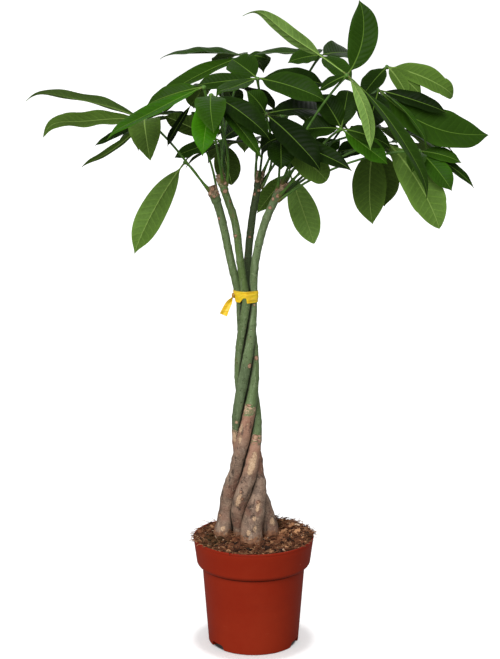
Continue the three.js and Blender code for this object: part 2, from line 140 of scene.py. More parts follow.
def addPiece(name, skin, materials, stands, sharp):
    piece = meshObject(name, skin)
    mesh = piece.data
    for material in materials:
        mesh.materials.append(material)
    mesh.polygons.foreach_set("material_index", skin["slots"])
    mesh.polygons.foreach_set("use_smooth", [True] * len(mesh.polygons))
    for key in sorted({key for _, spread in skin["values"] for key in spread}):
        parts = [spread.get(key, np.zeros(count)) for count, spread in skin["values"]]
        mesh.attributes.new(key, "FLOAT", "POINT").data.foreach_set("value", np.concatenate(parts))
    mesh.set_sharp_from_angle(angle=math.radians(sharp))
    mesh.update()
    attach(piece, "root")
    if stands:
        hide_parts(*stands)
    return piece


# Helpers for materials
def ink(color):
    # three numbers are a screen colour of 0 to 255, which becomes a linear one; anything else stays
    if not isinstance(color, tuple) or len(color) != 3:
        return color
    parts = [value / 255 for value in color]
    return (*[v / 12.92 if v <= 0.04045 else ((v + 0.055) / 1.055) ** 2.4 for v in parts], 1.0)


def makeNode(tree, kind, inputs=None, **settings):
    made = tree.nodes.new(kind)
    for key, value in settings.items():
        setattr(made, key, value)
    for key, value in (inputs or {}).items():
        if isinstance(value, bpy.types.NodeSocket):
            tree.links.new(value, made.inputs[key])
        else:
            made.inputs[key].default_value = value
    return made


def mixColor(tree, share, first, second, way="MIX"):
    inputs = {0: share, 6: ink(first), 7: ink(second)}
    return makeNode(tree, "ShaderNodeMix", inputs, data_type="RGBA", blend_type=way).outputs[2]


def ranged(tree, value, low, high, outLow=0.0, outHigh=1.0):
    spans = {"Value": value, "From Min": low, "From Max": high, "To Min": outLow, "To Max": outHigh}
    return makeNode(tree, "ShaderNodeMapRange", spans, interpolation_type="SMOOTHSTEP").outputs["Result"]


def figure(tree, operation, first, second):
    return makeNode(tree, "ShaderNodeMath", {0: first, 1: second}, operation=operation).outputs[0]


def times(tree, first, second):
    return figure(tree, "MULTIPLY", first, second)


def plus(tree, first, second):
    return figure(tree, "ADD", first, second)


def less(tree, first, second):
    return figure(tree, "SUBTRACT", first, second)


def valueOf(tree, name):
    return makeNode(tree, "ShaderNodeAttribute", attribute_name=name).outputs["Fac"]


def placeOf(tree):
    return makeNode(tree, "ShaderNodeTexCoord").outputs["Object"]


def lengthOf(tree, place):
    return makeNode(tree, "ShaderNodeVectorMath", {0: place}, operation="LENGTH").outputs["Value"]


def noiseOf(tree, scale, detail, roughness=0.55, stretch=(1, 1, 1)):
    place = placeOf(tree)
    if stretch != (1, 1, 1):
        place = makeNode(tree, "ShaderNodeMapping", {"Vector": place, "Scale": stretch}).outputs[0]
    inputs = {"Vector": place, "Scale": scale, "Detail": detail, "Roughness": roughness}
    return makeNode(tree, "ShaderNodeTexNoise", inputs).outputs["Fac"]


def swing(tree, amount, *pattern):
    # a noise that goes half the amount up and down from nothing
    return times(tree, less(tree, noiseOf(tree, *pattern), 0.5), amount)


def patch(tree, pattern, reach):
    return ranged(tree, noiseOf(tree, *pattern), *reach)


def layered(tree, color, layers, share=None):
    # a layer is its noise, the span in which it comes in, and its colour, or two that the share mixes
    for pattern, reach, *tints in layers:
        tint = tints[0] if len(tints) == 1 else mixColor(tree, share, *tints)
        color = mixColor(tree, patch(tree, pattern, reach), color, tint)
    return color


def startGroup(name, inputs, outputs):
    tree = bpy.data.node_groups.new(name, "ShaderNodeTree")
    for label, value in inputs.items():
        kind = "NodeSocketColor" if isinstance(value, tuple) else "NodeSocketFloat"
        tree.interface.new_socket(label, in_out="INPUT", socket_type=kind).default_value = value
    for label in outputs:
        kind = "NodeSocketColor" if label == "Color" else "NodeSocketFloat"
        tree.interface.new_socket(label, in_out="OUTPUT", socket_type=kind)
    return tree, makeNode(tree, "NodeGroupInput").outputs, makeNode(tree, "NodeGroupOutput").inputs


def finishGroup(tree, out, **values):
    for label, value in values.items():
        tree.links.new(value, out[label])
    return tree


def useGroup(tree, group, inputs):
    return makeNode(tree, "ShaderNodeGroup", inputs, node_tree=group).outputs


def startMaterial(name, roughness, specular):
    material = bpy.data.materials.new(name)
    material.use_nodes = True
    shader = material.node_tree.nodes["Principled BSDF"]
    shader.inputs["Roughness"].default_value = roughness
    shader.inputs["Specular IOR Level"].default_value = specular
    return material, material.node_tree, shader


def finishMaterial(tree, shader, color, height, depth, strength, roughness=None):
    tree.links.new(color, shader.inputs["Base Color"])
    if roughness is not None:
        tree.links.new(roughness, shader.inputs["Roughness"])
    bump = makeNode(tree, "ShaderNodeBump", {"Height": height, "Distance": depth, "Strength": strength})
    tree.links.new(bump.outputs[0], shader.inputs["Normal"])


# Mottle: a colour that drifts between two, with a coarse and a fine noise
def makeMottle():
    inputs = {"First": (0, 0, 0, 1), "Second": (1, 1, 1, 1), "Scale": 40.0, "Fine Share": 0.4}
    tree, given, out = startGroup("mottle", inputs, ("Color", "Value"))
    coarse = noiseOf(tree, given["Scale"], 3)
    fine = noiseOf(tree, times(tree, given["Scale"], 7.0), 5, 0.7)
    value = makeNode(tree, "ShaderNodeMix", {0: given["Fine Share"], 2: coarse, 3: fine}).outputs[0]
    share = ranged(tree, value, 0.32, 0.68)
    return finishGroup(tree, out, Color=mixColor(tree, share, given["First"], given["Second"]), Value=share)


# Grain: a fine uneven height for moulded plastic, bark and petioles
def makeGrain():
    tree, given, out = startGroup("surfaceGrain", {"Scale": 900.0, "Pits": 0.3}, ("Height",))
    base = noiseOf(tree, given["Scale"], 6, 0.6)
    pits = patch(tree, (times(tree, given["Scale"], 0.35), 2), (0.62, 0.75))
    return finishGroup(tree, out, Height=less(tree, base, times(tree, pits, given["Pits"])))


# Leaf veins: the midrib, the side veins and the fine net between them, from the values in the mesh
def makeLeafVeins():
    inputs, outputs = {"Vein Width": 0.1, "Rib Width": 1.0}, ("Rib", "Veins", "Net", "Relief")
    tree, given, out = startGroup("leafVeins", inputs, outputs)
    place = plus(tree, valueOf(tree, "veinPlace"), swing(tree, 0.5, 45.0, 2))
    away = figure(tree, "PINGPONG", place, 0.5)
    fade = ranged(tree, valueOf(tree, "edgeShare"), 0.7, 1.0, 1.0, 0.15)
    veins = times(tree, ranged(tree, away, 0.0, given["Vein Width"], 1.0, 0.0), fade)
    ribShare = figure(tree, "DIVIDE", valueOf(tree, "ribShare"), given["Rib Width"])
    rib = ranged(tree, ribShare, 0.55, 1.25, 1.0, 0.0)
    inputs = {"Vector": placeOf(tree), "Scale": 420.0}
    cells = makeNode(tree, "ShaderNodeTexVoronoi", inputs, feature="DISTANCE_TO_EDGE")
    net = ranged(tree, cells.outputs["Distance"], 0.0, 0.12, 1.0, 0.0)
    swell = times(tree, ranged(tree, away, 0.0, 0.4), fade)
    relief = less(tree, less(tree, swell, times(tree, net, 0.12)), times(tree, rib, 0.8))
    return finishGroup(tree, out, Rib=rib, Veins=veins, Net=net, Relief=relief)


mottle = makeMottle()
surfaceGrain = makeGrain()
leafVeins = makeLeafVeins()
print("shader groups made")


def mottled(tree, first, second, scale, fineShare):
    inputs = {"First": ink(first), "Second": ink(second), "Scale": scale, "Fine Share": fineShare}
    return useGroup(tree, mottle, inputs)


def grainHeight(tree, scale, pits):
    return useGroup(tree, surfaceGrain, {"Scale": scale, "Pits": pits})["Height"]


# Studio: the camera of the photograph, a pale floor, soft lamps and an even pale surround.
# A lamp is its turn, its strength and its spread. The last two light the floor alone.
studio = {
    "cameraPlace": (-0.005, -1.990, 0.818), "cameraTilt": 79.5, "lens": 80.3, "sensor": 36,
    "lamps": {"sun": ((58, 0, -22), 2.7, 45), "fill": ((70, 0, 45), 0.35, 80), "backFill": ((62, 0, 165), 0.6, 70),
              "floorLamp": ((0, 0, 0), 2.25, 90), "footLamp": ((0, 0, 0), 1.0, 6)},
    "surround": (1.0, 1.0, 1.0, 1), "surroundLight": 0.36, "surroundSeen": 1.1,
    "floorColor": (246, 246, 246), "floorDrift": (250, 250, 250), "floorBounce": (120, 120, 118), "floorSize": 40,
    "paintedFootShadow": (52, 48, 46), "footReach": (0.0595, 0.0635),
}


def makeStudio():
    scene = bpy.context.scene
    lens = bpy.data.cameras.new("camera")
    lens.lens, lens.sensor_width = studio["lens"], studio["sensor"]
    camera = linked("camera", lens)
    camera.location = studio["cameraPlace"]
    camera.rotation_euler = (math.radians(studio["cameraTilt"]), 0, 0)
    scene.camera = camera
    lamps = {}
    for name, (turn, strength, spread) in studio["lamps"].items():
        light = bpy.data.lights.new(name, "SUN")
        light.energy, light.angle = strength, math.radians(spread)
        lamps[name] = linked(name, light)
        lamps[name].rotation_euler = [math.radians(angle) for angle in turn]
    world = bpy.data.worlds.new("surround")
    world.use_nodes = True
    tree = world.node_tree
    background = tree.nodes["Background"].inputs
    background["Color"].default_value = studio["surround"]
    seen = makeNode(tree, "ShaderNodeLightPath").outputs["Is Camera Ray"]
    light = ranged(tree, seen, 0.0, 1.0, studio["surroundLight"], studio["surroundSeen"])
    tree.links.new(light, background["Strength"])
    scene.world = world
    scene.view_settings.view_transform = "Standard"
    return lamps


def collected(name, *things):
    made = bpy.data.collections.new(name)
    for thing in things:
        made.objects.link(thing)
    return made


def makeFloor(lamps):
    look, tree, shader = startMaterial("paleFloor", 0.9, 0.1)
    shade = mottled(tree, studio["floorColor"], studio["floorDrift"], 3.0, 0.3)
    # the floor throws little light back up, so that the shade inside the crown stays deep
    seen = makeNode(tree, "ShaderNodeLightPath").outputs["Is Camera Ray"]
    shown = mixColor(tree, seen, studio["floorBounce"], shade["Color"])
    # painted shadow: the floor is darkened under the pot's foot, where no light gets
    under = ranged(tree, lengthOf(tree, placeOf(tree)), *studio["footReach"], 1.0, 0.0)
    shown = mixColor(tree, under, shown, studio["paintedFootShadow"])
    finishMaterial(tree, shader, shown, grainHeight(tree, 300.0, 0.1), 0.0002, 0.3)
    size = studio["floorSize"]
    mesh = bpy.data.meshes.new("floor")
    mesh.from_pydata([(-size, -size, 0), (size, -size, 0), (size, size, 0), (-size, size, 0)], [], [(0, 1, 2, 3)])
    mesh.materials.append(look)
    floor = linked("floor", mesh)
    # two lamps light the floor alone, and the others leave it out, so that it is pale right up to the pot
    floorOnly, notFloor, potOnly = collected("floorOnly", floor), collected("notFloor", floor), collected("potOnly")
    notFloor.collection_objects[0].light_linking.link_state = "EXCLUDE"
    for name, lamp in lamps.items():
        lamp.light_linking.receiver_collection = floorOnly if name in ("floorLamp", "footLamp") else notFloor
    # the floor lamp throws no shadow and the foot lamp throws the pot's, straight below its rim
    lamps["floorLamp"].data.use_shadow = False
    lamps["footLamp"].light_linking.blocker_collection = potOnly
    return potOnly


shadedBy = makeFloor(makeStudio())
print("studio made")

# Pot: a tapered body under a wider collar that is round at its lower edge, with pockets at its foot
pot = {
    "height": 154, "rimRadius": 85, "collarBottom": 112, "collarBottomRadius": 80.5, "collarRound": 8,
    "bodyTopRadius": 72.5, "baseRadius": 64, "wall": 2, "floor": 3, "crease": 2.6, "bead": 3.4, "turns": 200,
    "notchAngles": (-143, -23, 97), "notchHeight": 8, "notchDepth": 14, "notchFoot": 28, "notchTop": 25,
    # the crease line, end and reach and the crease colour set the painted shade under the collar
    "notchCorner": 3, "notchKnee": 0.7, "creaseLine": (109.4, 111.4), "creaseEnd": (116, 118),
    "creaseReach": (74.5, 77.5), "creaseShadeColor": (46, 12, 8), "color": (138, 36, 16), "worn": (145, 43, 20),
    "band": (128, 34, 16), "mark": (200, 112, 88), "roughness": 0.46,
}


def potProfile():
    # outside from the axis at the base up to the lip, then down the inside to the axis again
    base, bodyTop, collar, rim = (pot[key + "Radius"] for key in ("base", "bodyTop", "collarBottom", "rim"))
    low, height, knee, wall, floor = (pot[key] for key in ("collarBottom", "height", "collarRound", "wall", "floor"))
    line = [(0, 0), (base - 2.2, 0), (base - 0.9, 0.35), (base - 0.15, 1.2)]
    line += [(mix(base, bodyTop, t), mix(2.5, low - 0.5, t)) for t in np.linspace(0.01, 1, 12)]
    # a narrow crease goes up behind the collar's lower edge
    line += [(bodyTop + 0.1, low + pot["crease"]), (bodyTop + 0.9, low + pot["crease"])]
    for a in np.linspace(0.42, math.pi / 2, 9):
        line.append((collar - knee * (1 - math.sin(a)), low + knee * (1 - math.cos(a))))
    line += [(mix(collar, rim, t), mix(low + knee, height - 1.2, t)) for t in np.linspace(0.1, 0.82, 6)]
    # a fine groove sets the lip off from the collar
    groove, lip = height - pot["bead"], wall / 2
    line += [(rim - 0.75, groove - 0.8), (rim - 0.85, groove - 0.1), (rim - 0.15, groove + 0.3)]
    line.append((rim + 0.1, height - 1.2))
    for a in np.linspace(0.2, math.pi - 0.2, 7):
        line.append((rim - lip + lip * math.cos(a), height - lip + lip * math.sin(a)))
    line += [(rim - wall - 0.1, height - 1.4), (collar - wall, low + knee * 1.5), (bodyTop - wall, low + knee * 0.5)]
    return line + [(base - wall, floor + 1.2), (base - wall - 1.2, floor), (0, floor)]


def turned(profile, turns):
    # a turned skin with one point where the profile meets the axis at each end
    skin = newSkin()
    rings = [(radius, height) for radius, height in profile if radius > 0]
    points = [polar(radius, a, height) for radius, height in rings for a in evenTurns(turns)]
    points += [(0, 0, profile[0][1]), (0, 0, profile[-1][1])]
    faces, first, last = quadsBetween(len(rings), turns)
    for j in range(turns):
        faces += [(len(points) - 2, first[j - turns + 1], first[j]), (last[j], last[j - turns + 1], len(points) - 1)]
    addLump(skin, points, faces)
    return skin


def notchCutter(angle):
    # a block with soft corners, set into the foot of the pot
    foot, top, height = pot["notchFoot"] / 2, pot["notchTop"] / 2, pot["notchHeight"]
    half = [(foot + 1, -2), (foot, 0), (top, height * pot["notchKnee"]), (top - pot["notchCorner"], height)]
    outline = np.array(half + [(-x, z) for x, z in reversed(half)], float)
    for _ in range(2):
        following = np.roll(outline, -1, axis=0)
        outline = np.stack([mix(outline, following, 0.2), mix(outline, following, 0.8)], 1).reshape(-1, 2)
    near = pot["baseRadius"] - pot["notchDepth"]
    c, s = math.cos(angle), math.sin(angle)
    skin = newSkin()
    addTube(skin, np.array([[(reach * c - x * s, reach * s + x * c, z) for x, z in outline]
                            for reach in (near, near + 2 * pot["notchDepth"])]))
    return skin


def makePotMaterial():
    material, tree, shader = startMaterial("moldedTerracottaPlastic", pot["roughness"], 0.1)
    shade = mottled(tree, pot["color"], pot["worn"], 9.0, 0.25)
    bands = ((14.0, 3, 0.5, (0.6, 0.6, 5)), (0.4, 0.9, 0.0, 0.35), pot["band"])
    color = layered(tree, shade["Color"], [bands])
    # fine scuffs that run round the body, and a few pale specks
    scuff = patch(tree, (30.0, 2, 0.5, (1, 1, 26)), (0.71, 0.76))
    scuffed = times(tree, scuff, patch(tree, (18.0, 2), (0.55, 0.7, 0.0, 0.5)))
    specks = patch(tree, (210.0, 1), (0.82, 0.86, 0.0, 0.8))
    color = mixColor(tree, figure(tree, "MAXIMUM", scuffed, specks), color, pot["mark"])
    # painted shade: a dark line is painted on the body right under the collar, where the collar's shadow falls
    x, y, z = makeNode(tree, "ShaderNodeSeparateXYZ", {0: placeOf(tree)}).outputs
    reach = lengthOf(tree, makeNode(tree, "ShaderNodeCombineXYZ", {0: x, 1: y}).outputs[0])
    line = 1.0
    for place, key, *shares in ((z, "Line", 0.0, 0.85), (reach, "Reach", 1.0, 0.0), (z, "End", 1.0, 0.0)):
        line = times(tree, ranged(tree, place, *[level * mm for level in pot["crease" + key]], *shares), line)
    color = mixColor(tree, line, color, pot["creaseShadeColor"])
    rough = ranged(tree, shade["Value"], 0.0, 1.0, pot["roughness"] - 0.05, pot["roughness"] + 0.1)
    finishMaterial(tree, shader, color, grainHeight(tree, 1500.0, 0.2), 0.00012, 0.35, rough)
    return material


def makePot():
    body = meshObject("potBlank", turned(potProfile(), pot["turns"]))
    cutters = [meshObject(f"notch{i}", notchCutter(math.radians(angle))) for i, angle in enumerate(pot["notchAngles"])]
    for cutter in cutters:
        cut = body.modifiers.new(cutter.name, "BOOLEAN")
        cut.operation, cut.solver, cut.object = "DIFFERENCE", "EXACT", cutter
    mesh = bpy.data.meshes.new_from_object(body.evaluated_get(bpy.context.evaluated_depsgraph_get()))
    skin = newSkin()
    points = [[c / mm for c in v.co] for v in mesh.vertices]
    addLump(skin, points, [list(face.vertices) for face in mesh.polygons])
    for blank in [body, *cutters]:
        bpy.data.objects.remove(blank)
    shadedBy.objects.link(addPiece("growerPot", skin, [makePotMaterial()], ["pot"], 32))


makePot()
print("pot made")

# Stems: four, each on its own foot, twisted into one trunk and leaning out above the tie. "twisted" is the
# paleness and freshness of a stem's twisted part and the height that this reaches. A scar is its height, the angle
# round the stem, its radius, how tall it is and how far it stands out, and a flake is the same without the last.
bundle = {
    "soilContact": 152, "footDepth": 60, "splayTop": 243, "splayRoom": 5, "splayTaper": 1.8, "taper": 1.3,
    "twistLevel": 233, "twistRate": 1.05, "twistEnd": 488, "middle": -9.5, "radius": 9.6, "topRadius": 5.4,
    "room": 1.05, "gap": 0.3, "headSwelling": 1.2, "headRound": 0.6, "tieLevel": 496, "fullness": 1.07,
    "closing": 0.09, "closed": ((158, 185), (250, 215)), "sides": 36, "scarSpacing": 21, "scarRise": 0.5,
    "lumpSizes": (22, 7, 4.5), "changeReach": 18, "headReach": (30, 4), "soiled": (174, 152), "creaseShadeRoom": (5.5, 0.5),
}
stems = {
    "left": {
        "turn": 270, "foot": (-19, 1), "footRadius": 8, "splay": 1.2, "topRadius": 5.7,
        "lean": [(-31, 4, 543), (-46, 7, 611), (-58, 9, 646)],
        "change": 300, "paleness": 0.46, "freshness": 0.45, "twisted": (0.45, 0.3, 496),
        "scars": [(603, -125, 2.2, 1, 0.3), (638, -130, 3.2, 1, 0.7), (642, -80, 3.2, 1, 0.8), (634, -20, 3, 1, 0.6),
                  (645, 60, 3, 1, 0.6), (632, -95, 2.4, 1, 0.5), (298, -88, 4.5, 0.8, 0.4), (224, -115, 2.2, 1, 0.5),
                  (216, -90, 2.2, 1, 0.5)],
        "flakes": [(262, -90, 7, 1.7), (272, -75, 5, 1.4), (254, -95, 5, 1.5), (212, -112, 4, 2.6)],
    },
    "middle": {
        "turn": 0, "foot": (-3, -19), "footRadius": 15.5, "splay": 1.4, "topRadius": 5,
        "lean": [(-18, -12, 543), (-25, -16, 598), (-40, -21, 645), (-45, -22, 664)],
        "change": 305, "paleness": 0.4, "freshness": 0.75, "twisted": (0.5, 0.4, 496),
        "scars": [(582, -115, 2.6, 0.9, 0.4), (652, -55, 2.8, 1, 0.7), (642, -80, 3.2, 0.9, 0.7),
                  (663, -95, 3.4, 1, 0.8), (655, 100, 3, 1, 0.7), (628, -60, 2, 0.7, 0.3), (560, -115, 0.9, 1, 0.1),
                  (206, -82, 3, 0.7, 0.5)],
        "flakes": [(200, -76, 3.5, 2.4), (186, -84, 4, 1.2), (173, -70, 3, 2), (167, -106, 3.4, 1.5),
                   (158, -92, 3, 0.9), (160, -60, 3, 1)],
    },
    "back": {
        "turn": 180, "foot": (-44, 6), "footRadius": 12.5, "splay": 0.82, "topRadius": 4.8,
        "lean": [(-8, 14, 543), (-2, 24, 600), (5, 31, 640), (10, 34, 664)],
        # the back stem's low paleness and freshness are partly its own tone and partly painted shade, as it stands
        # behind the others in their shadow
        "change": 342, "paleness": 0.06, "freshness": 0.2, "twisted": (0.58, 0.38, 496),
        "scars": [(650, -110, 3.2, 0.8, 0.6), (632, -120, 2.6, 0.9, 0.5), (638, -60, 2.4, 0.9, 0.5),
                  (575, -90, 2.4, 0.8, 0.4), (660, 60, 3, 1, 0.6), (409, -60, 3.4, 1, 0.5), (345, -110, 4, 0.5, 0.4),
                  (181, -138, 2.8, 1, 0.6)],
        "flakes": [(163, -100, 4, 1.2), (158, -70, 3, 1), (298, -120, 3, 2), (320, -80, 2.2, 1.2), (312, -140, 3.5, 2)],
    },
    "right": {
        "turn": 90, "foot": (22, 8), "footRadius": 14, "splay": 1.15, "topRadius": 5.5,
        "lean": [(2, -9, 543), (15, -14, 598), (28, -17, 628), (42, -20, 654)],
        "change": 306, "paleness": 0.6, "freshness": 0.26, "twisted": (0.4, 0.05, 404),
        "scars": [(651, -110, 3.2, 1, 0.8), (642, -150, 3, 0.9, 0.7), (636, -90, 2.8, 1, 0.6),
                  (630, -130, 2.6, 0.9, 0.5), (619, -110, 2.8, 0.8, 0.5), (646, 40, 3, 1, 0.6),
                  (402, -50, 3.2, 1.2, 0.7), (484, -70, 1.8, 1, 0.3)],
        "flakes": [(300, -128, 4, 2.6), (322, -105, 3, 1), (172, -50, 5, 1.3)],
    },
}


def bundledRadius(z):
    share = np.clip((bundle["tieLevel"] - z) / (bundle["tieLevel"] - bundle["splayTop"]), 0, 1)
    return mix(bundle["topRadius"], bundle["radius"], share ** bundle["taper"])


def bundledPlace(stem, z, room=0.0):
    angle = np.radians(stem["turn"] + (z - bundle["twistLevel"]) * bundle["twistRate"])
    reach = bundle["room"] * math.sqrt(2) * bundledRadius(z) + bundle["gap"] + room
    return np.stack([bundle["middle"] + reach * np.cos(angle), reach * np.sin(angle), z], -1)


def easedCurve(corners, steps):
    # a centripetal curve through all its corners
    corners = [np.array(corner, float) for corner in corners]
    corners = [2 * corners[0] - corners[1], *corners, 2 * corners[-1] - corners[-2]]
    places = []
    for t in np.linspace(0, len(corners) - 3, steps + 1)[1:]:
        i = min(int(t), len(corners) - 4)
        a, b, c, d = corners[i:i + 4]
        before, along, after = (max(np.linalg.norm(q - p) ** 0.5, 1e-4) for p, q in ((a, b), (b, c), (c, d)))
        out = ((b - a) / before - (c - a) / (before + along) + (c - b) / along) * along
        come = ((c - b) / along - (d - b) / (along + after) + (d - c) / after) * along
        u = t - i
        places.append((2 * b - 2 * c + out + come) * u ** 3 + (3 * c - 3 * b - 2 * out - come) * u ** 2 + out * u + b)
    return np.array(places)


def stemPath(stem):
    contact = bundle["soilContact"]
    foot = vec(*stem["foot"], contact)
    share = np.linspace(0, 1, 55)
    z = mix(contact, bundle["splayTop"], share)
    bundled = bundledPlace(stem, z, bundle["splayRoom"] * np.sin(math.pi * share))
    straight = np.stack([np.full_like(z, foot[0]), np.full_like(z, foot[1]), z], -1)
    held = ((1 - share) ** stem["splay"])[:, None]
    splay = bundled * (1 - held) + straight * held
    splayRadii = mix(bundledRadius(z), stem["footRadius"], (1 - share) ** bundle["splayTaper"])
    z = np.linspace(bundle["splayTop"], bundle["twistEnd"], 140)[1:]
    twist = bundledPlace(stem, z)
    lean = easedCurve([twist[-1], *stem["lean"]], 96)
    leanShare = np.linspace(0, 1, 97)[1:]
    swelling = mix(1, bundle["headSwelling"], smooth(0.74, 0.88, leanShare))
    leanRadii = mix(bundle["topRadius"], stem["topRadius"], leanShare) * swelling
    below = [foot - vec(0, 0, depth) for depth in (bundle["footDepth"], 30, 12, 5)]
    places = np.concatenate([below, splay, twist, lean])
    radii = np.concatenate([[stem["footRadius"]] * len(below), splayRadii, bundledRadius(z), leanRadii])
    for _ in range(4):
        places[1:-1] = (places[:-2] + 2 * places[1:-1] + places[2:]) / 4
    return places, radii


stemPaths = {name: stemPath(stem) for name, stem in stems.items()}


def stemAt(name, height):
    places, radii = stemPaths[name]
    i = int(np.argmax(places[:, 2] >= height))
    share = (height - places[i - 1][2]) / (places[i][2] - places[i - 1][2])
    return mix(places[i - 1], places[i], share), mix(radii[i - 1], radii[i], share), unit(places[i] - places[i - 1])


def paintedShadeBeside(name, rings):
    # how near a point of one stem is to another stem, from 0 to 1, which sets where shade is painted into the creases
    # between stems
    z = rings[:, :, 2]
    near = np.full(z.shape, 99.0)
    for other, (places, radii) in stemPaths.items():
        if other != name:
            x, y, radius = (np.interp(z, places[:, 2], part) for part in (places[:, 0], places[:, 1], radii))
            near = np.minimum(near, np.hypot(rings[:, :, 0] - x, rings[:, :, 1] - y) - radius)
    return smooth(*bundle["creaseShadeRoom"], near)


# Bark: a layer is its noise, the span of the noise in which it comes in, with its share before and after, and
# its colour, or two for a dull and a pale stem. Peel and islands also have the two spans of the change from
# green to brown in which they come and go. A mark is its value in the mesh, how far and with what noise that
# value swings, the span in which it comes in, and its colour or mottle.
barkLook = {
    # the crease colour is painted shade, laid where the stems press close together
    "dull": (44, 54, 34), "pale": (142, 164, 118), "fresh": (92, 118, 50), "crease": (30, 26, 18),
    "green": [
        ((60.0, 4, 0.6, (1, 1, 0.22)), (0.35, 0.7, 0.0, 0.55), (46, 58, 30), (84, 104, 62)),
        ((260.0, 4, 0.7, (1, 1, 0.1)), (0.48, 0.64, 0.0, 0.5), (30, 40, 20), (172, 194, 146)),
        ((120.0, 5, 0.75, (1, 1, 0.7)), (0.6, 0.68, 0.0, 0.5), (116, 92, 62)),
        ((620.0, 2, 0.6, (1, 1, 0.6)), (0.63, 0.69, 0.0, 0.65), (104, 122, 72), (200, 212, 170)),
        ((400.0, 3), (0.33, 0.39, 0.7, 0.0), (40, 42, 24))],
    "old": ((96, 78, 66), (158, 132, 112), 60.0, 0.5), "young": (176, 128, 104),
    "brown": [
        ((34.0, 3), (0.48, 0.66, 0.0, 0.5), (128, 84, 66)),
        ((150.0, 5, 0.65, (1, 1, 0.35)), (0.36, 0.44, 0.8, 0.0), (60, 48, 42)),
        ((85.0, 4, 0.65, (1, 1, 0.3)), (0.56, 0.68, 0.0, 0.55), (186, 166, 146)),
        ((520.0, 2), (0.6, 0.68, 0.0, 0.6), (190, 162, 138))],
    "ragged": (2.2, 130.0, 4, 0.7, (1, 1, 2.2)),
    "peel": ((0.4, 0.48), (0.62, 0.72), (170.0, 3), (0.38, 0.48, 0.0, 0.9)), "peelColor": (212, 172, 146),
    "island": ((0.6, 0.66), (0.8, 0.86), (80.0, 2), (0.4, 0.46, 0.0, 0.9)),
    "marks": [
        ("flake", (3.6, 170.0, 8, 0.85), (0.54, 0.62), ((146, 98, 70), (232, 204, 168), 300.0, 0.75)),
        ("head", (2.2, 190.0, 4, 0.7), (0.62, 0.8, 0.0, 0.9), ((62, 36, 26), (206, 176, 144), 230.0, 0.5)),
        ("scar", (1.1, 330.0, 4, 0.65), (0.2, 0.45, 0.0, 0.85), (104, 62, 44)),
        ("scar", (1.1, 330.0, 4, 0.65), (0.55, 0.8), ((150, 104, 78), (206, 172, 142), 260.0, 0.5)),
        ("base", (2.6, 210.0, 5, 0.75), (0.55, 0.75, 0.0, 0.85), ((58, 34, 24), (176, 122, 86), 240.0, 0.6))],
}


def makeBarkMaterial():
    material, tree, shader = startMaterial("pachiraBark", 0.62, 0.3)
    pale, fresh, share = (valueOf(tree, key) for key in ("paleness", "freshness", "brownShare"))
    green = mixColor(tree, fresh, mixColor(tree, pale, barkLook["dull"], barkLook["pale"]), barkLook["fresh"])
    green = layered(tree, green, barkLook["green"], pale)
    # grey-brown older bark with darker and redder places
    young = plus(tree, valueOf(tree, "youngBark"), swing(tree, 1.0, 40.0, 3))
    brown = mottled(tree, *barkLook["old"])["Color"]
    brown = mixColor(tree, ranged(tree, young, 0.2, 0.9, 0.0, 0.65), brown, barkLook["young"])
    brown = layered(tree, brown, barkLook["brown"])
    # the skin peels where green turns to brown, and only there is it ragged: pale strips and green islands
    near = times(tree, share, less(tree, 4.0, times(tree, share, 4.0)))
    edge = plus(tree, share, times(tree, swing(tree, *barkLook["ragged"]), near))
    color = mixColor(tree, ranged(tree, edge, 0.44, 0.52), green, brown)
    for key, tint in (("peel", barkLook["peelColor"]), ("island", green)):
        rise, fall, pattern, reach = barkLook[key]
        window = times(tree, ranged(tree, edge, *rise), ranged(tree, edge, *fall, 1.0, 0.0))
        color = mixColor(tree, times(tree, window, patch(tree, pattern, reach)), color, tint)
    # pale peeled flakes, cork at the heads, scars with a dark ring round a tan face, and soil on the feet
    shares = {}
    for key, rough, reach, tint in barkLook["marks"]:
        tint = tint if len(tint) == 3 else mottled(tree, *tint)["Color"]
        shares[key] = ranged(tree, plus(tree, valueOf(tree, key), swing(tree, *rough)), *reach)
        color = mixColor(tree, shares[key], color, tint)
    # painted shade: the bark is darkened where the stems press close together
    color = mixColor(tree, ranged(tree, valueOf(tree, "crease"), 0.0, 0.8, 0.0, 0.9), color, barkLook["crease"])
    cracks = patch(tree, *barkLook["brown"][1][:2])
    height = plus(tree, grainHeight(tree, 420.0, 0.6), times(tree, shares["flake"], 0.7))
    finishMaterial(tree, shader, color, less(tree, height, times(tree, cracks, share)), 0.0008, 0.8)
    return material


bark = makeBarkMaterial()


